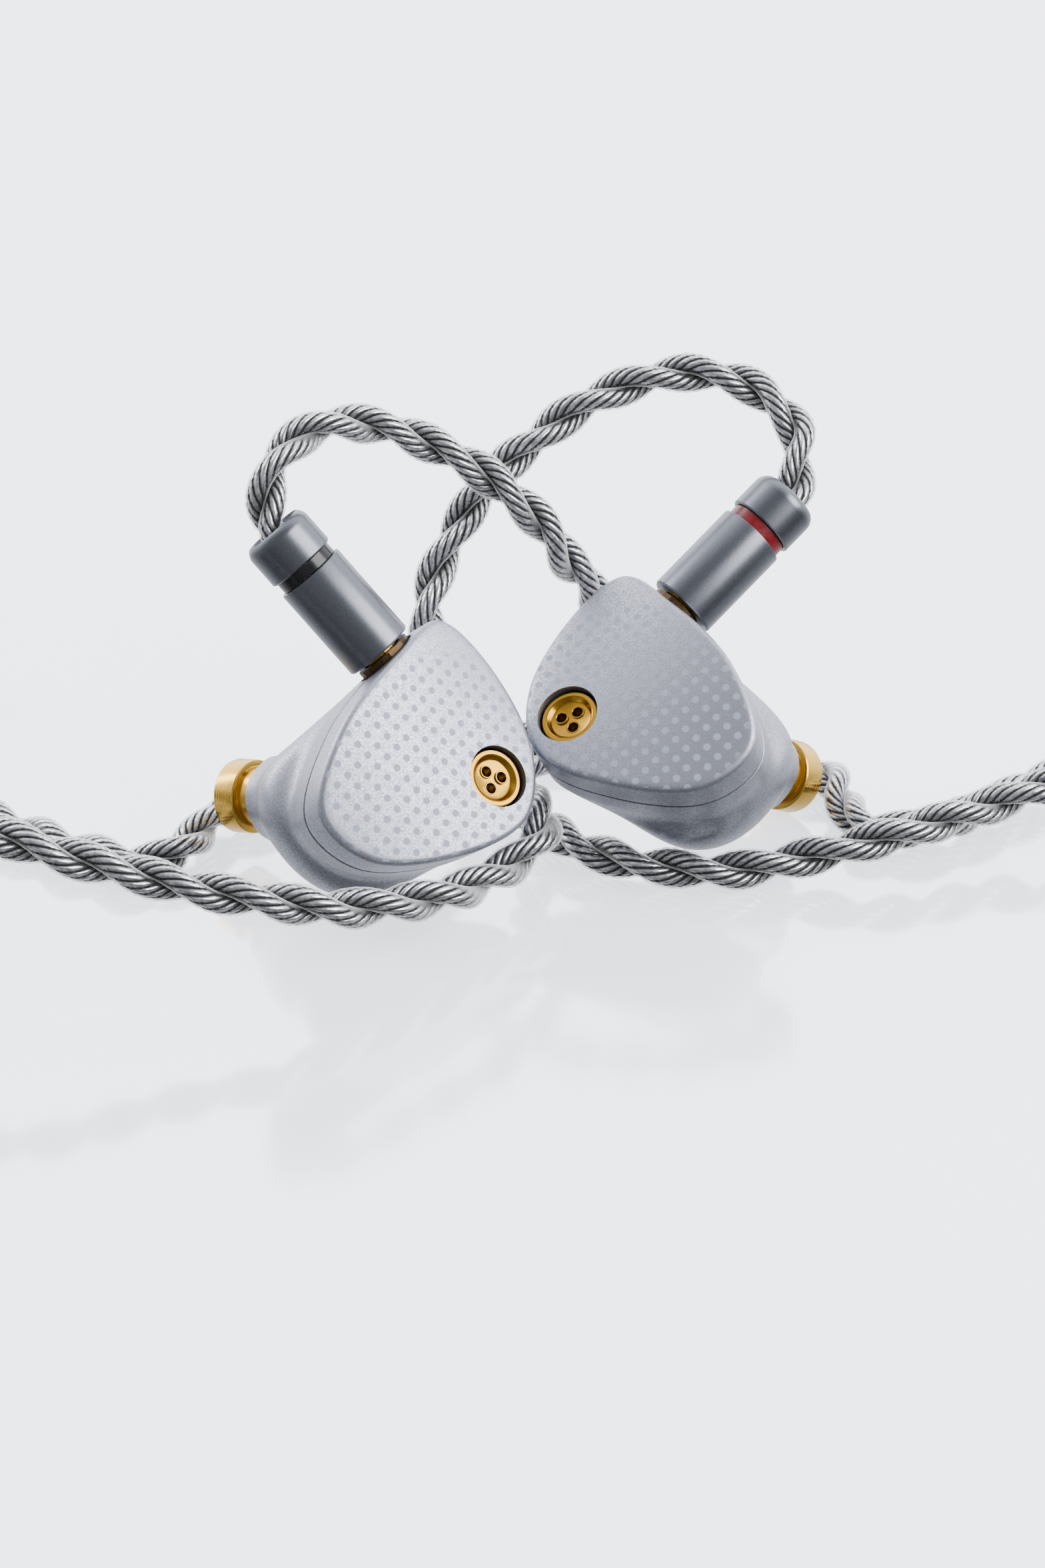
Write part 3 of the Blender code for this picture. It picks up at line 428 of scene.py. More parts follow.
def dotted_metal(name, side):
    """The faceplate: blasted metal with a lattice of small matt dots that fades at the edge."""
    look = blasted_metal(name, PLATE_COLOUR)
    at, x_axis, y_axis, z_axis = side_axes(side)
    across = look.math("ADD", look.along(x_axis * side["mirror"], at), CONNECTOR_AT.x)
    up = look.math("ADD", look.along(y_axis, at), CONNECTOR_AT.y)
    height = look.math("ADD", look.along(z_axis, at), CONNECTOR_AT.z)
    squares = []
    for place, start in zip((across, up), DOT_ORIGIN):
        steps = look.math("DIVIDE", look.math("SUBTRACT", place, start), DOT_PITCH)
        fraction = look.math("FRACT", look.math("ADD", steps, 1000.5))
        off = look.math("MULTIPLY", look.math("SUBTRACT", fraction, 0.5), DOT_PITCH)
        squares.append(look.math("MULTIPLY", off, off))
    reach = look.math("SQRT", look.math("ADD", squares[0], squares[1]))
    dot = look.between(reach, DOT_RADIUS - DOT_BLUR, DOT_RADIUS + DOT_BLUR, 1.0, 0.0)
    outwards = [look.math("DIVIDE", look.math("SUBTRACT", place, middle), half)
                for place, middle, half in zip((across, up), DOTS_MIDDLE, DOTS_HALF)]
    powers = [look.math("POWER", look.math("ABSOLUTE", item), DOTS_POWER)
              for item in outwards]
    edge = look.math("ADD", powers[0], powers[1])
    fade = look.between(edge, 0.86, 1.02, 1.0, 0.0)
    bow = look.math("SUBTRACT", across, RIDGE_X)
    fall = look.math("MULTIPLY", look.math("MULTIPLY", bow, bow), CROWN)
    on_face = look.between(look.math("ADD", height, fall), -0.12, -0.06)
    mask = look.math("MULTIPLY", look.math("MULTIPLY", dot, fade), on_face)
    metal = look.shader.inputs["Base Color"].links[0].from_socket
    look.colour(look.mix(mask, metal, DOT_COLOUR))
    bare = look.math("SUBTRACT", 1.0, mask)
    look.feed(look.math("MULTIPLY", bare, BLASTED_METALLIC), look.shader.inputs["Metallic"])
    return look.material


def turned_gold(name, axis, point, dark, light):
    """Gold plate with fine rings left by turning, about an axis."""
    look = Look(name, light, 0.2, 1.0)
    rings = look.turned(axis, point, 9.0, 3.0)
    look.rough(look.between(rings, 0.3, 0.7, 0.12, 0.34))
    look.colour(look.mix(look.between(rings, 0.3, 0.7), dark, light))
    look.bump(rings, 0.01, 0.6)
    return look.material


def satin_metal(name, axis, point):
    """Anodised grey of the plugs: fine grain, with faint turned rings."""
    look = Look(name, SATIN_COLOUR, 0.32, 1.0)
    grain = look.noise(9.0)
    look.colour(look.mix(look.between(grain, 0.35, 0.65), SATIN_COLOUR,
                         tinted(SATIN_COLOUR, 1.2)))
    look.rough(look.between(look.turned(axis, point, 6.0), 0.3, 0.7, 0.31, 0.34))
    look.bump(grain, 0.01, 0.35)
    return look.material


def plain_metal(name, colour, roughness):
    """Metal with a faint grain, for the pieces that the photo hardly shows."""
    look = Look(name, colour, roughness, 1.0)
    grain = look.noise(5.0)
    look.colour(look.mix(look.between(grain, 0.35, 0.65), tinted(colour, 0.75), colour))
    look.rough(look.between(grain, 0.3, 0.7, roughness * 0.8, roughness * 1.3))
    look.bump(grain, 0.008, 0.3)
    return look.material


def plastic(name, colour, roughness, per_mm=3.0, coat=0.0):
    """Moulded plastic or enamel with a faint texture."""
    look = Look(name, colour, roughness)
    grain = look.noise(per_mm)
    lighter = tinted(colour, 1.25, 0.004)
    look.colour(look.mix(look.between(grain, 0.3, 0.7), colour, lighter))
    look.rough(look.between(grain, 0.3, 0.7, roughness * 0.85, roughness * 1.2))
    look.shader.inputs["Coat Weight"].default_value = coat
    look.bump(grain, 0.01, 0.2)
    return look.material


def woven_mesh(name):
    """A fine metal screen."""
    look = Look(name, (0.32, 0.31, 0.29), 0.4, 0.9)
    cells = look.add("ShaderNodeTexVoronoi")
    look.links.new(look.place, cells.inputs["Vector"])
    cells.inputs["Scale"].default_value = 5.5 / MM
    distance = cells.outputs["Distance"]
    look.colour(look.mix(look.between(distance, 0.2, 0.5), (0.02, 0.02, 0.02),
                         (0.5, 0.48, 0.44)))
    look.bump(distance, 0.03, 0.6)
    return look.material


def silver_strand():
    """Fine silver wires laid round a strand, in painted highlight and shade; the strand's own
    coordinates are in its UVs.
    """
    look = Look("silver_strand", (0.75, 0.75, 0.77), 0.24, 1.0)
    uv = look.add("ShaderNodeUVMap", uv_map="wires")
    split = look.add("ShaderNodeSeparateXYZ")
    look.links.new(uv.outputs[0], split.inputs[0])
    turn = look.math("ADD", look.math("MULTIPLY", split.outputs["X"], float(WIRES)),
                     look.math("MULTIPLY", split.outputs["Y"], WIRE_TWIST))
    wave = look.math("ABSOLUTE", look.math("SINE", look.math("MULTIPLY", turn, math.pi)))
    height = look.math("POWER", wave, 0.8)
    scuffs = look.noise(2.5)
    # Painted highlight: the wires' ridges go towards this bright colour, and their grooves towards
    # near black as painted shade
    highlight_colour = look.mix(look.between(scuffs, 0.35, 0.65), (0.55, 0.55, 0.58), (0.90, 0.90, 0.93))
    # Painted shade: the inner side of each strand, where the two strands meet, is darkened
    outward_for_crevice_shade = look.math("COSINE", look.math("MULTIPLY", split.outputs["X"], 2 * math.pi))
    lit = look.math("MULTIPLY", look.between(wave, 0.3, 0.85),
                    look.between(outward_for_crevice_shade, -0.6, 0.35, 0.25))
    look.colour(look.mix(lit, (0.014, 0.014, 0.017), highlight_colour))
    look.rough(look.between(scuffs, 0.3, 0.7, 0.22, 0.36))
    look.bump(height, 0.16, 1.0)
    return look.material


def clear_jacket():
    """A clear soft jacket over a strand, seen mostly at its edges."""
    look = Look("clear_jacket", (0.97, 0.975, 0.985), 0.06)
    ripples = look.noise(0.5, 1.0)
    look.rough(look.between(ripples, 0.3, 0.7, 0.04, 0.12))
    edge = look.add("ShaderNodeLayerWeight")
    edge.inputs["Blend"].default_value = 0.32
    look.feed(look.between(edge.outputs["Facing"], 0.25, 0.9, 0.02, 0.85),
              look.shader.inputs["Alpha"])
    look.shader.inputs["IOR"].default_value = 1.4
    # Painted light: a white glow brightens the jacket, standing in for the bright room seen through
    # the clear plastic
    look.glow((1.0, 1.0, 1.0), 0.25)
    return look.material


# --- cable -------------------------------------------------------------------------------

def on_coil(radius, degrees, height):
    """A place over the coil, by its turn from +x and its height."""
    turn = math.radians(degrees)
    return COIL_AT + Vector((radius * math.cos(turn), radius * math.sin(turn), height))


def on_line(along, offset=0.0):
    """A place on the splitter's line; the offset is outwards from the coil."""
    outwards = Vector((math.cos(LINE_TURN), math.sin(LINE_TURN), 0))
    return LINE_MIDDLE + LINE_DIRECTION * along + outwards * offset + Vector((0, 0, LINE_HEIGHT))


def plug_start(side):
    """The stretch of a branch inside its plug, and just out of it."""
    axis = Vector(side["connector"]).normalized()
    return [Vector(side["at"]) + axis * along for along in IN_PLUG]


def branch_end(offset):
    """The straight stretch through the slider into the splitter."""
    places = (SLIDER_MIDDLE - 5.6, SLIDER_MIDDLE - 2, SLIDER_MIDDLE + 2, SPLITTER_TOP + 4.5)
    return [on_line(along, offset) for along in places]


def left_branch():
    points = plug_start(SIDES["left"]) + [Vector(point) for point in LEFT_ROUTE]
    for degrees in range(-110, -436, -25):
        share = min(1.0, max(0.0, (-240 - degrees) / 100))
        radius = INNER_TURN + (MIDDLE_TURN - INNER_TURN) * share
        points.append(on_coil(radius, degrees, ON_COIL))
    points.append(Vector((-84.2, -29.9, 12.4)))
    return points + branch_end(-BRANCH_OFFSET)


def right_branch():
    points = plug_start(SIDES["right"]) + [Vector(point) for point in RIGHT_ROUTE]
    points += [on_coil(OUTER_TURN, degrees, ON_COIL) for degrees in (-5, -22, -40, -58, -74)]
    points.append(Vector((-85.6, -34.3, 12.6)))
    return points + branch_end(BRANCH_OFFSET)


def main_line():
    """The main cable: from the splitter, wound into two layers of a coil, and to the jack."""
    points = [on_line(along) for along in (SPLITTER_END - 4.5, SPLITTER_END + 0.5)]
    points += [Vector((-115.2, -10.6, 13.4)), Vector((-114.8, -4.6, 12.4)),
               Vector((-112.3, 1.6, 11.5)), on_coil(MAIN_TURN + 0.3, -205, MAIN_ON_COIL + 0.1)]
    degrees = -210
    radius, height = MAIN_TURN, MAIN_ON_COIL + 0.1
    for next_radius, next_height, bulge in COIL_LAY:
        for step in range(360 // LAY_STEP):
            share = min(1.0, step * LAY_STEP / LAY_CHANGE)
            ease = share * share * (3 - 2 * share)
            swell = bulge * math.sin(math.pi * share)
            points.append(on_coil(radius + (next_radius - radius) * ease + swell, degrees,
                                  height + (next_height - height) * ease))
            degrees -= LAY_STEP
        radius, height = next_radius, next_height
    while degrees % 360 > 125:
        points.append(on_coil(radius, degrees, height))
        degrees -= 15
    points += [on_coil(30.4, 113, MAIN_RADIUS), Vector((-91.6, 25.4, 2.1))]
    return points + [JACK_AT + Vector((along, 0, 0)) for along in (-1.5, 1.0, 5.0)]


def line_axes(line):
    """Unit axes along a line of points: tangents, and two across that don't turn about it."""
    tangents = np.gradient(line, axis=0)
    tangents /= np.linalg.norm(tangents, axis=1)[:, None]
    normal = np.cross(tangents[0], (0.3, 0.2, 1.0))
    normals = []
    for tangent in tangents:
        normal = normal - tangent * np.dot(normal, tangent)
        normal = normal / np.linalg.norm(normal)
        normals.append(normal)
    normals = np.array(normals)
    return tangents, normals, np.cross(tangents, normals)


def helix(line, offset, phase):
    """A strand that winds about a line, and the direction outwards at each of its points."""
    _, normals, binormals = line_axes(line)
    steps = np.linalg.norm(np.diff(line, axis=0), axis=1)
    along = np.concatenate(([0.0], np.cumsum(steps)))
    turn = (2 * math.pi * along / TWIST_LENGTH + phase)[:, None]
    outwards = np.cos(turn) * normals + np.sin(turn) * binormals
    return line + offset * outwards, outwards, along


def tube_rings(line, outwards, radius, sides):
    """Circles of points about a line, each of them starting from its outward side."""
    tangents = line_axes(line)[0]
    across = outwards - tangents * np.sum(outwards * tangents, axis=1)[:, None]
    across /= np.linalg.norm(across, axis=1)[:, None]
    other = np.cross(tangents, across)
    turns = np.linspace(0, 2 * math.pi, sides, endpoint=False)
    rings = (line[:, None, :] + radius * (np.cos(turns)[None, :, None] * across[:, None, :]
                                          + np.sin(turns)[None, :, None] * other[:, None, :]))
    return rings


def twisted_tubes(name, line, radius, sides, offset, look):
    """The two lobes of a twisted cord as one mesh, with UVs (round, along in mm)."""
    points, faces, uvs = [], [], []
    for lobe in range(2):
        centre, outwards, along = helix(line, offset, math.pi * lobe)
        rings = tube_rings(centre, outwards, radius, sides)
        first = len(points)
        points.extend(rings.reshape(-1, 3) * MM)
        for i in range(len(rings) - 1):
            for k in range(sides):
                n = (k + 1) % sides
                faces.append((first + i * sides + k, first + i * sides + n,
                              first + (i + 1) * sides + n, first + (i + 1) * sides + k))
                uvs += [(k / sides, along[i]), ((k + 1) / sides, along[i]),
                        ((k + 1) / sides, along[i + 1]), (k / sides, along[i + 1])]
        last = first + (len(rings) - 1) * sides
        for end, middle in ((range(sides - 1, -1, -1), first), (range(sides), last)):
            faces.append(tuple(middle + k for k in end))
            uvs += [(0.0, 0.0)] * sides
    mesh = bpy.data.meshes.new(name)
    mesh.from_pydata([tuple(point) for point in points], [], faces)
    layer = mesh.uv_layers.new(name="wires")
    layer.data.foreach_set("uv", np.array(uvs, dtype=np.float32).ravel())
    mesh.polygons.foreach_set("use_smooth", [True] * len(mesh.polygons))
    mesh.materials.append(look)
    mesh.validate()
    item = bpy.data.objects.new(name, mesh)
    bpy.context.scene.collection.objects.link(item)
    return item


def twisted_cord(name, points, radius, spacing, nodes, looks):
    line = np.array([tuple(point) for point in smooth_curve(points, spacing)])
    scale = radius / BRANCH_RADIUS
    strands = twisted_tubes(name + "_strands", line, STRAND_RADIUS * scale, STRAND_SIDES,
                            STRAND_OFFSET * scale, looks["strand"])
    jacket = twisted_tubes(name + "_jacket", line, JACKET_RADIUS * scale, JACKET_SIDES,
                           STRAND_OFFSET * scale, looks["jacket"])
    for item in (strands, jacket):
        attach(item, "cable")
    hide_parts(*nodes)


def cords(jack_pieces):
    """The three cords; the main one ends in the jack."""
    looks = {"strand": silver_strand(), "jacket": clear_jacket()}
    twisted_cord("left", left_branch(), BRANCH_RADIUS, BRANCH_SPACING, ["left_cord"], looks)
    twisted_cord("right", right_branch(), BRANCH_RADIUS, BRANCH_SPACING, ["right_cord"], looks)
    twisted_cord("main", main_line(), MAIN_RADIUS, MAIN_SPACING,
                 ["main_cord", "cable_coil", "tail_cord"], looks)


# --- smooth pieces over the CAD ----------------------------------------------------------

def side_axes(side):
    """The connector's place and the earpiece's axes, in mm."""
    y_axis = Vector(side["connector"]).normalized()
    face = Vector(side["face"])
    z_axis = (face - face.dot(y_axis) * y_axis).normalized()
    return Vector(side["at"]), y_axis.cross(z_axis), y_axis, z_axis


def ear_direction(side, direction):
    _, x_axis, y_axis, z_axis = side_axes(side)
    return (x_axis * side["mirror"] * direction[0] + y_axis * direction[1]
            + z_axis * direction[2])


def ear_point(side, point):
    return Vector(side["at"]) + ear_direction(side, Vector(point) - CONNECTOR_AT)


def finish_mesh(name, work, look, body, nodes, sharp=SHARP):
    """Turns a bmesh of mm into a smooth-shaded object that stands for CAD nodes."""
    bmesh.ops.recalc_face_normals(work, faces=work.faces)
    for vertex in work.verts:
        vertex.co *= MM
    for edge in work.edges:
        if len(edge.link_faces) == 2 and edge.calc_face_angle() > math.radians(sharp):
            edge.smooth = False
    for face in work.faces:
        face.smooth = True
    mesh = bpy.data.meshes.new(name)
    work.to_mesh(mesh)
    work.free()
    mesh.materials.append(look)
    item = bpy.data.objects.new(name, mesh)
    bpy.context.scene.collection.objects.link(item)
    if body:
        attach(item, body)
        if nodes:
            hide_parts(*nodes)
    return item


def skin(work, rings, ends=False):
    """Joins rings of points into a closed band, or into a closed skin with two ends."""
    rows = [[work.verts.new(point) for point in ring] for ring in rings]
    for first, second in zip(rows, rows[1:] if ends else rows[1:] + rows[:1]):
        for i in range(len(first)):
            j = (i + 1) % len(first)
            work.faces.new((first[i], first[j], second[j], second[i]))
    if ends:
        work.faces.new(reversed(rows[0]))
        work.faces.new(rows[-1])


def turned_mesh(profile, at, axis, sides=TURNED_SIDES):
    """A solid of revolution about an axis, from (radius, height) points in order."""
    z_axis = axis.normalized()
    x_axis = z_axis.orthogonal().normalized()
    y_axis = z_axis.cross(x_axis)
    work = bmesh.new()
    rows = []
    for radius, height in profile:
        if radius == 0:
            rows.append([work.verts.new(at + z_axis * height)])
            continue
        ring = []
        for step in range(sides):
            turn = 2 * math.pi * step / sides
            ring.append(work.verts.new(at + z_axis * height + radius
                                       * (math.cos(turn) * x_axis + math.sin(turn) * y_axis)))
        rows.append(ring)
    closed = len(rows[0]) > 1 and len(rows[-1]) > 1
    for first, second in zip(rows, rows[1:] + (rows[:1] if closed else [])):
        for i in range(sides):
            j = (i + 1) % sides
            corners = [first[i % len(first)], first[j % len(first)],
                       second[j % len(second)], second[i % len(second)]]
            corners = list(dict.fromkeys(corners))
            if len(corners) > 2:
                work.faces.new(corners)
    return work


def cut_round(item, radius, at, axis, low, high):
    """Cuts a round hole."""
    drill = finish_mesh("drill", turned_mesh([(0, low), (radius, low), (radius, high), (0, high)],
                                             at, axis), item.data.materials[0], None, ())
    hole = item.modifiers.new("hole", "BOOLEAN")
    hole.operation = "DIFFERENCE"
    hole.solver = "EXACT"
    hole.object = drill
    bpy.context.view_layer.update()
    cut_mesh = bpy.data.meshes.new_from_object(item.evaluated_get(
        bpy.context.evaluated_depsgraph_get()))
    item.modifiers.clear()
    item.data = cut_mesh
    bpy.data.objects.remove(drill)


def cut_socket(item, side):
    """The hole that a plug goes into."""
    cut_round(item, SOCKET_HOLE, Vector(side["at"]), Vector(side["connector"]), -5, 3)


def face_outline(inset=0.0):
    """The faceplate's outline, moved inwards."""
    corners = [Vector((x, y)) for x, y in OUTLINE]
    line = smooth_curve(corners, OUTLINE_LENGTH / OUTLINE_POINTS, closed=True)
    moved = []
    for i, point in enumerate(line):
        along = (line[(i + 1) % len(line)] - line[i - 1]).normalized()
        moved.append(point + Vector((along.y, -along.x)) * inset)
    return moved


def crown_height(x):
    return -CROWN * (x - RIDGE_X) ** 2


def rim_ring(side, inset, drop):
    """A ring along the faceplate's outline, moved inwards and back."""
    return [ear_point(side, (point.x, point.y, crown_height(point.x) - drop))
            for point in face_outline(inset)]


def face_ring(side, share, inset, drop):
    """A ring part of the way out from the faceplate's middle."""
    ring = []
    for point in face_outline(inset):
        moved = OUTLINE_MIDDLE + (point - OUTLINE_MIDDLE) * share
        ring.append(ear_point(side, (moved.x, moved.y, crown_height(moved.x) - drop)))
    return ring


def faceplate(name, side, look):
    """The crowned plate with its rounded front edge, down to the seam."""
    rings = [face_ring(side, share, EDGE_RADIUS, 0.0) for share in FACE_SHARES]
    for step in range(EDGE_STEPS + 1):
        turn = math.pi / 2 * step / EDGE_STEPS
        rings.append(rim_ring(side, EDGE_RADIUS * (1 - math.sin(turn)),
                              EDGE_RADIUS * (1 - math.cos(turn))))
    rings.append(rim_ring(side, 0.0, SEAM_DEPTH - SEAM_CHAMFER))
    rings.append(rim_ring(side, SEAM_CHAMFER, SEAM_DEPTH))
    rings.append(rim_ring(side, WALL, SEAM_DEPTH))
    rings.append(rim_ring(side, WALL, WALL))
    rings += [face_ring(side, share, WALL, WALL) for share in BACK_SHARES]
    work = bmesh.new()
    skin(work, rings, ends=True)
    item = finish_mesh(f"{name}_face_smooth", work, look, name + "_earpiece",
                       [name + "_faceplate"])
    cut_round(item, VENT_RADIUS, ear_point(side, VENT_AT), vent_axis(side), -3, 2)
    cut_socket(item, side)
    mark_sharp(item)


def mark_sharp(item, sharp=SHARP):
    """Smooth shading, but for edges that fold by more than an angle."""
    work = bmesh.new()
    work.from_mesh(item.data)
    for face in work.faces:
        face.smooth = True
    for edge in work.edges:
        edge.smooth = (len(edge.link_faces) != 2
                       or edge.calc_face_angle(0) < math.radians(sharp))
    work.to_mesh(item.data)
    work.free()


def rear_ring(side, section, inset=0.0):
    """One ring of the rear shell: from the faceplate's outline to a round collar."""
    depth, x, y, half_x, half_y, roundness, tilt = section
    half_x, half_y = half_x - inset, half_y - inset
    crown_share = max(0.0, 1 - max(0.0, depth - REAR_START) / CROWN_FADE)
    ring = []
    for point in face_outline():
        unit = Vector(((point.x - OUTLINE_MIDDLE.x) / OUTLINE_HALF.x,
                       (point.y - OUTLINE_MIDDLE.y) / OUTLINE_HALF.y))
        angle = math.atan2(unit.y, unit.x)
        round_unit = Vector((math.copysign(abs(math.cos(angle)) ** LOBE_POWER, math.cos(angle)),
                             math.copysign(abs(math.sin(angle)) ** LOBE_POWER, math.sin(angle))))
        unit = unit.lerp(round_unit, roundness)
        dx, dy = half_x * unit.x, half_y * unit.y
        lean = -(NOZZLE_AXIS.x * dx + NOZZLE_AXIS.y * dy) / NOZZLE_AXIS.z
        z = -depth + tilt * lean + crown_share * crown_height(x + dx)
        ring.append(ear_point(side, (x + dx, y + dy, z)))
    return ring


def smooth_sections():
    """The rear shell's sections with others between them, on a smooth curve."""
    rows = [Vector(section) for section in REAR_SECTIONS]
    smooth = []
    for i in range(len(rows) - 1):
        before = rows[max(0, i - 1)]
        start, end = rows[i], rows[i + 1]
        after = rows[min(len(rows) - 1, i + 2)]
        leave, arrive = (end - before) / 2, (after - start) / 2
        if i < STRAIGHT_SECTIONS:
            leave, arrive = end - start, end - start
        for step in range(SECTION_STEPS):
            smooth.append(blend(start, leave, end, arrive, step / SECTION_STEPS))
    smooth.append(rows[-1])
    kept = SECTION_STEPS + 1
    for _ in range(SMOOTHING):
        smooth[kept:-1] = [(a + 2 * b + c) / 4 for a, b, c in
                           zip(smooth[kept - 1:], smooth[kept:], smooth[kept + 1:])]
    return smooth


def rear_shell(name, side, look):
    """The shell behind the seam, hollow, down to the nozzle's collar."""
    sections = smooth_sections()
    sections[0][0] = SEAM_DEPTH + SEAM_GAP
    start = Vector(sections[0])
    start[0] += SEAM_CHAMFER
    rings = [rear_ring(side, sections[0], SEAM_CHAMFER), rear_ring(side, start)]
    rings += [rear_ring(side, section) for section in sections[1:]]
    rings += [rear_ring(side, section, WALL) for section in reversed(sections[::SECTION_STEPS])]
    work = bmesh.new()
    skin(work, rings)
    item = finish_mesh(f"{name}_rear_smooth", work, look, name + "_earpiece",
                       [name + "_rear_shell"])
    cut_socket(item, side)
    mark_sharp(item)


def vent_axis(side):
    return ear_direction(side, (math.sin(VENT_TILT), 0, math.cos(VENT_TILT)))


def vent(name, side):
    """The gold vent: a bevelled ring round a dished plate with three holes."""
    at, axis = ear_point(side, VENT_AT), vent_axis(side)
    # Painted shade: the vent's gold is a darker copy of the nozzle's gold, so that it shows less of
    # the key light it reflects
    look = turned_gold(name + "_vent_gold", axis, at, (0.34, 0.17, 0.015), (0.50, 0.28, 0.035))
    item = finish_mesh(name + "_vent_smooth", turned_mesh(VENT_PROFILE, at, axis), look,
                       name + "_earpiece", [name + "_vent_cap"], GOLD_SHARP)
    x_axis, y_axis = ear_direction(side, (1, 0, 0)), ear_direction(side, (0, 1, 0))
    for i in range(3):
        turn = math.radians(90 + 120 * i)
        outwards = math.cos(turn) * x_axis + math.sin(turn) * y_axis
        middle = at + VENT_HOLES_AT * outwards
        cut_round(item, VENT_HOLE_RADIUS, middle, axis, -3, 0)
        finish_mesh(f"{name}_vent_rim_{i}", turned_mesh(VENT_RIM, middle, axis, RIM_SIDES), look,
                    name + "_earpiece", ())
    mark_sharp(item, GOLD_SHARP)


def nozzle(name, side):
    """The gold nozzle, with its lip at the far end."""
    at, axis = ear_point(side, NOZZLE_AT), ear_direction(side, NOZZLE_AXIS)
    look = turned_gold(name + "_nozzle_gold", axis, at, *GOLD)
    finish_mesh(name + "_nozzle_smooth", turned_mesh(NOZZLE_PROFILE, at, axis), look,
                name + "_earpiece", [name + "_nozzle"], NOZZLE_SHARP)


def plug(name, side, ring_look):
    """Barrel, colour ring and rounded cap."""
    at, axis = Vector(side["at"]), Vector(side["connector"])
    satin = satin_metal(name + "_satin", axis, at)
    barrel = [(BARREL_RADIUS - PLUG_CHAMFER, BARREL_TOP),
              (BARREL_RADIUS - 0.03, BARREL_TOP - 0.03),
              (BARREL_RADIUS, BARREL_TOP - PLUG_CHAMFER), (BARREL_RADIUS, BARREL_FOOT + 0.15),
              (BARREL_RADIUS - PLUG_CHAMFER, BARREL_FOOT), (NOSE_BORE, BARREL_FOOT),
              (NOSE_BORE, BARREL_FOOT + NOSE_DEPTH), (CABLE_BORE, BARREL_FOOT + NOSE_DEPTH),
              (CABLE_BORE, BARREL_TOP)]
    finish_mesh(name + "_barrel_smooth", turned_mesh(barrel, at, axis), satin, "cable",
                [name + "_plug_barrel"])
    end = []
    for step in range(CAP_STEPS + 1):
        turn = math.radians(CAP_ARC - CAP_ARC * step / CAP_STEPS)
        end.append((BARREL_RADIUS - CAP_ROUND + CAP_ROUND * math.cos(turn),
                    CAP_TOP - CAP_ROUND + CAP_ROUND * math.sin(turn)))
    cap = end + [(BARREL_RADIUS, CAP_FOOT + PLUG_CHAMFER),
                 (BARREL_RADIUS - PLUG_CHAMFER, CAP_FOOT), (CABLE_BORE, CAP_FOOT),
                 (CABLE_BORE, CAP_TOP - CAP_ROUND)]
    finish_mesh(name + "_cap_smooth", turned_mesh(cap, at, axis), satin, "cable",
                [name + "_plug_cap"])
    low, high = BARREL_TOP + RING_GAP, CAP_FOOT - RING_GAP
    ring = [(RING_RADIUS, high), (RING_RADIUS, low), (CABLE_BORE, low), (CABLE_BORE, high)]
    finish_mesh(name + "_ring_smooth", turned_mesh(ring, at, axis), ring_look, "cable",
                [name + "_marker_ring"])


def y_splitter():
    """The tapered piece where the two branches meet the main cable."""
    length = SPLITTER_END - SPLITTER_TOP
    at = on_line(SPLITTER_TOP)
    profile = [(0, length), (3.1, length), (3.3, length - 0.08), (3.4, length - 0.3),
               (4.5, length - 6), (4.7, length - 6.6), (SPLITTER_RADIUS, length - 7.3),
               (SPLITTER_RADIUS, 0.5), (4.7, 0.15), (4.45, 0), (0, 0)]
    finish_mesh("splitter_smooth", turned_mesh(profile, at, LINE_DIRECTION),
                satin_metal("splitter_satin", LINE_DIRECTION, at), "cable",
                ["y_splitter"])


def jack():
    """The jack's pieces, lying along +x."""
    x_axis = Vector((1, 0, 0))
    gold = turned_gold("jack_gold", x_axis, JACK_AT, *GOLD)
    satin = satin_metal("jack_satin", x_axis, JACK_AT)
    black = plastic("jack_black", BLACK, 0.4)
    bore, pin = MAIN_RADIUS + 0.3, 1.75
    relief = [(2.9, 8.0), (2.9, 7.0)]
    for step in range(4):
        high = 5.6 - 1.4 * step
        relief += [(2.82 - 0.05 * step, high + 0.5), (2.5, high + 0.4), (2.5, high),
                   (2.8 - 0.05 * step, high - 0.1)]
    relief += [(2.6, 0.0), (bore, 0.0), (bore, 6.0), (1.0, 6.0), (1.0, 8.0)]
    parts = [
        ("relief", black, "black_plastic", relief),
        ("barrel", satin, "plug_metal",
         [(2.2, 23.0), (2.9, 23.0), (3.1, 22.9), (3.2, 22.7), (3.2, 8.6), (3.1, 8.4), (2.9, 8.3),
          (1.0, 8.3), (1.0, 21.5), (2.2, 21.5)]),
        ("sleeve", gold, "gold_plate",
         [(0.9, 31.0), (pin, 31.0), (pin, 23.3), (1.9, 23.3), (1.9, 21.8), (0.9, 21.8)]),
        ("insulator_1", black, "black_plastic", [(0, 31.0), (1.7, 31.0), (1.7, 32.1), (0, 32.1)]),
        ("ring", gold, "gold_plate", [(0, 32.1), (pin, 32.1), (pin, 33.9), (0, 33.9)]),
        ("insulator_2", black, "black_plastic", [(0, 33.9), (1.7, 33.9), (1.7, 35.0), (0, 35.0)]),
        ("tip", gold, "gold_plate",
         [(0, 37.0), (0.5, 37.0), (0.7, 36.93), (1.6, 36.15), (pin, 35.95), (1.55, 35.7),
          (1.35, 35.4), (pin, 35.2), (pin, 35.0), (0, 35.0)]),
    ]
    return [finish_mesh(f"jack_{name}_smooth", turned_mesh(profile, JACK_AT, x_axis), look,
                        "cable", ["jack_" + name])
            for name, look, slot_name, profile in parts]


# --- the scene ---------------------------------------------------------------------------

def paint(look, *names):
    """Gives CAD nodes a material."""
    for name in names:
        mesh = NODES[name].data
        mesh.materials.clear()
        mesh.materials.append(look)


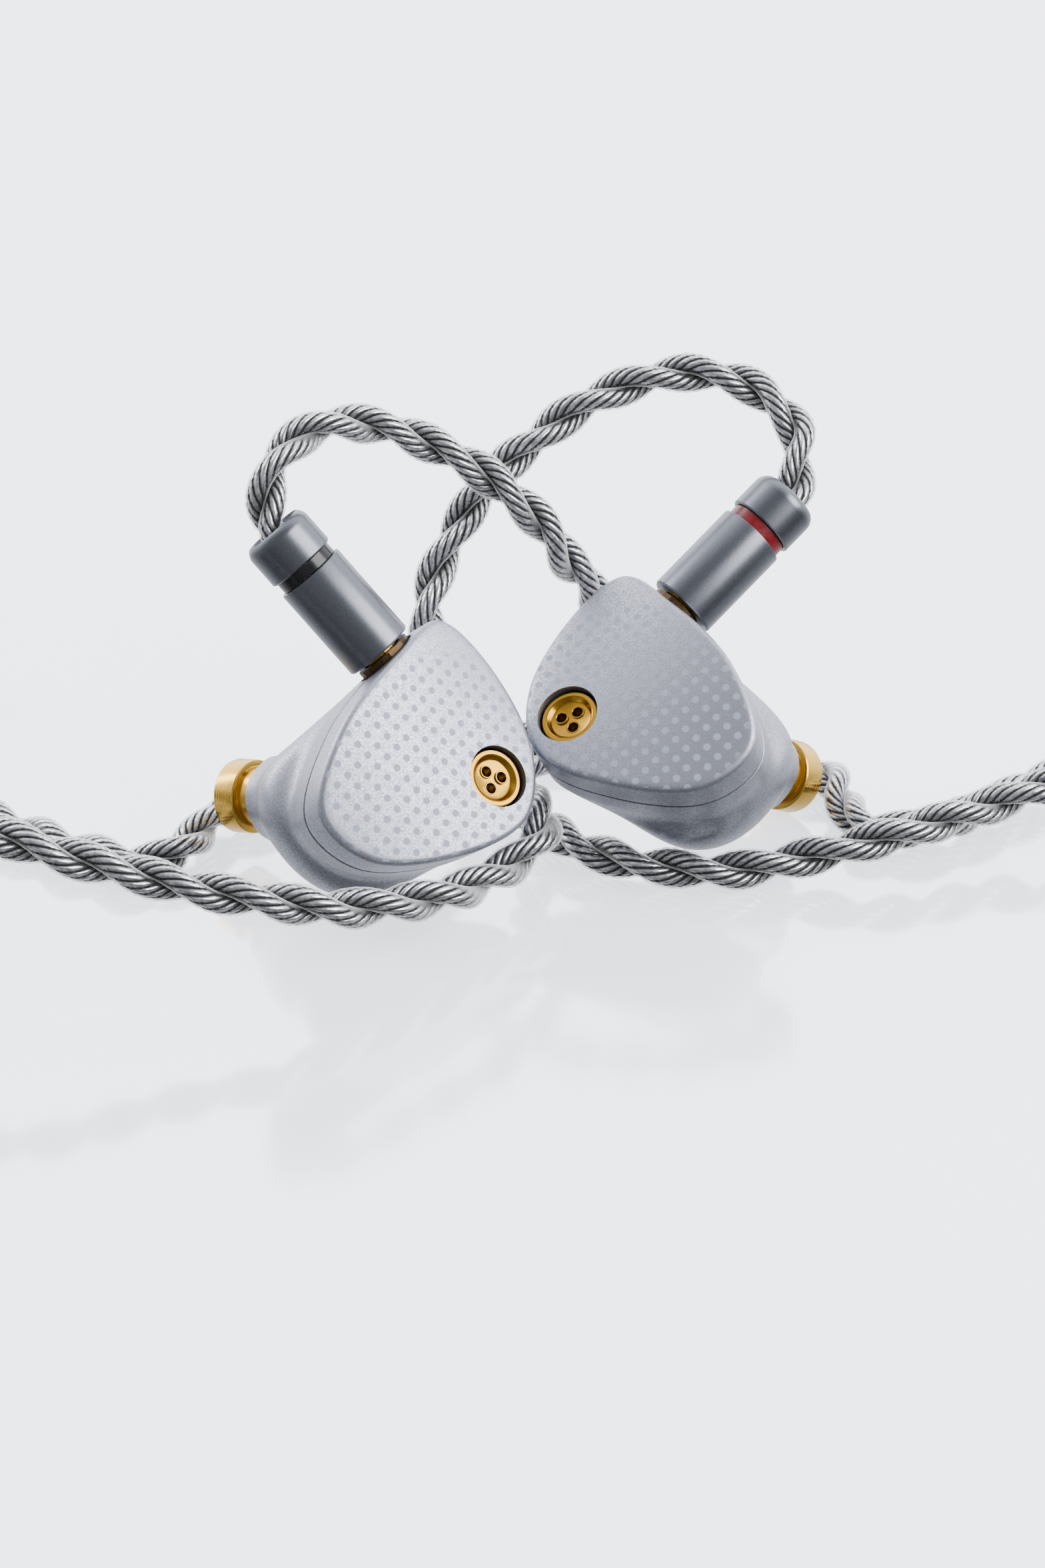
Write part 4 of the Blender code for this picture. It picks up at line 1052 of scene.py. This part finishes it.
def paint_nodes():
    """Materials for the CAD nodes that stay."""
    gold = plain_metal("gold", (0.78, 0.44, 0.08), 0.2)
    # Painted shade: the brass collar is painted dark brown, for the shade in the narrow gap between
    # the barrel's foot and the shell
    brass_in_painted_shade = plain_metal("collar_brass", (0.10, 0.065, 0.035), 0.4)
    steel = woven_mesh("mesh")
    magnet = plain_metal("magnet_nickel", (0.5, 0.5, 0.52), 0.25)
    black = plastic("black_plastic", BLACK, 0.45)
    white = plastic("white_plastic", (0.75, 0.74, 0.70), 0.45)
    foam = plastic("foam", (0.7, 0.68, 0.63), 0.85, 8.0)
    film = plastic("film", (0.62, 0.56, 0.42), 0.25, 4.0, 0.5)
    copper = plain_metal("copper", (0.70, 0.34, 0.20), 0.3)
    grey = satin_metal("slider_satin", LINE_DIRECTION, LINE_MIDDLE)
    for name in SIDES:
        paint(gold, name + "_socket_contact", name + "_plug_nose", name + "_plug_pin")
        paint(brass_in_painted_shade, name + "_socket_body")
        paint(steel, name + "_vent_screen", name + "_nozzle_mesh")
        paint(magnet, name + "_driver_magnet")
        paint(black, name + "_driver_frame")
        paint(white, name + "_socket_insulator", name + "_plug_insulator")
        paint(foam, name + "_nozzle_damper")
        paint(film, name + "_driver_diaphragm")
        paint(copper, name + "_signal_wire", name + "_ground_wire")
    paint(black, "coil_tie")
    paint(grey, "chin_slider")


def earpieces():
    rings = {"left": plastic("black_enamel", (0.004, 0.004, 0.005), 0.22),
             "right": plastic("red_enamel", (0.17, 0.002, 0.006), 0.28)}
    rear = blasted_metal("rear_metal", REAR_COLOUR).material
    for name, side in SIDES.items():
        faceplate(name, side, dotted_metal(name + "_dotted", side))
        rear_shell(name, side, rear)
        vent(name, side)
        nozzle(name, side)
        plug(name, side, rings[name])


def floor():
    """A glossy white table that glows, and that the pieces' own rays don't meet."""
    look = Look("floor", (0.80, 0.81, 0.83), 0.12)
    look.shader.inputs["Coat Weight"].default_value = 1.0
    look.shader.inputs["Coat IOR"].default_value = 3.5
    look.shader.inputs["Coat Roughness"].default_value = 0.1
    look.glow((0.85, 0.90, 1.0), FLOOR_GLOW)
    specks = look.noise(0.02, 1.0)
    look.rough(look.between(specks, 0.3, 0.7, 0.1, 0.14))
    bpy.ops.mesh.primitive_plane_add(size=FLOOR_SIZE, location=(0, 0, 0))
    plane = bpy.context.object
    plane.name = "floor"
    plane.data.materials.append(look.material)
    plane.visible_diffuse = False
    plane.visible_glossy = False


def lights():
    """A white room with a large soft light to the right, and a weaker one over the left."""
    world = bpy.data.worlds.new("studio")
    world.use_nodes = True
    background = world.node_tree.nodes["Background"]
    place = world.node_tree.nodes.new("ShaderNodeTexCoord")
    split = world.node_tree.nodes.new("ShaderNodeSeparateXYZ")
    links = world.node_tree.links
    links.new(place.outputs["Generated"], split.inputs[0])
    both = world.node_tree.nodes.new("ShaderNodeMath")
    both.operation = "MULTIPLY"
    for socket, (axis, *values) in zip(both.inputs, WORLD_RISES):
        rise = world.node_tree.nodes.new("ShaderNodeMapRange")
        for name, value in zip(("From Min", "From Max", "To Min", "To Max"), values):
            rise.inputs[name].default_value = value
        links.new(split.outputs[axis], rise.inputs["Value"])
        links.new(rise.outputs["Result"], socket)
    links.new(both.outputs[0], background.inputs["Strength"])
    background.inputs["Color"].default_value = (0.94, 0.96, 1.0, 1.0)
    bpy.context.scene.world = world
    for name, place, size, power in STUDIO_LIGHTS:
        data = bpy.data.lights.new(name, "AREA")
        data.shape = "RECTANGLE"
        data.size, data.size_y = size
        data.energy = power
        lamp = bpy.data.objects.new(name, data)
        lamp.location = place
        lamp.rotation_euler = (VIEW_MIDDLE * MM - Vector(place)).to_track_quat("-Z", "Y").to_euler()
        bpy.context.scene.collection.objects.link(lamp)


view_objects()
cords(jack())
y_splitter()
floor()
lights()
paint_nodes()
earpieces()
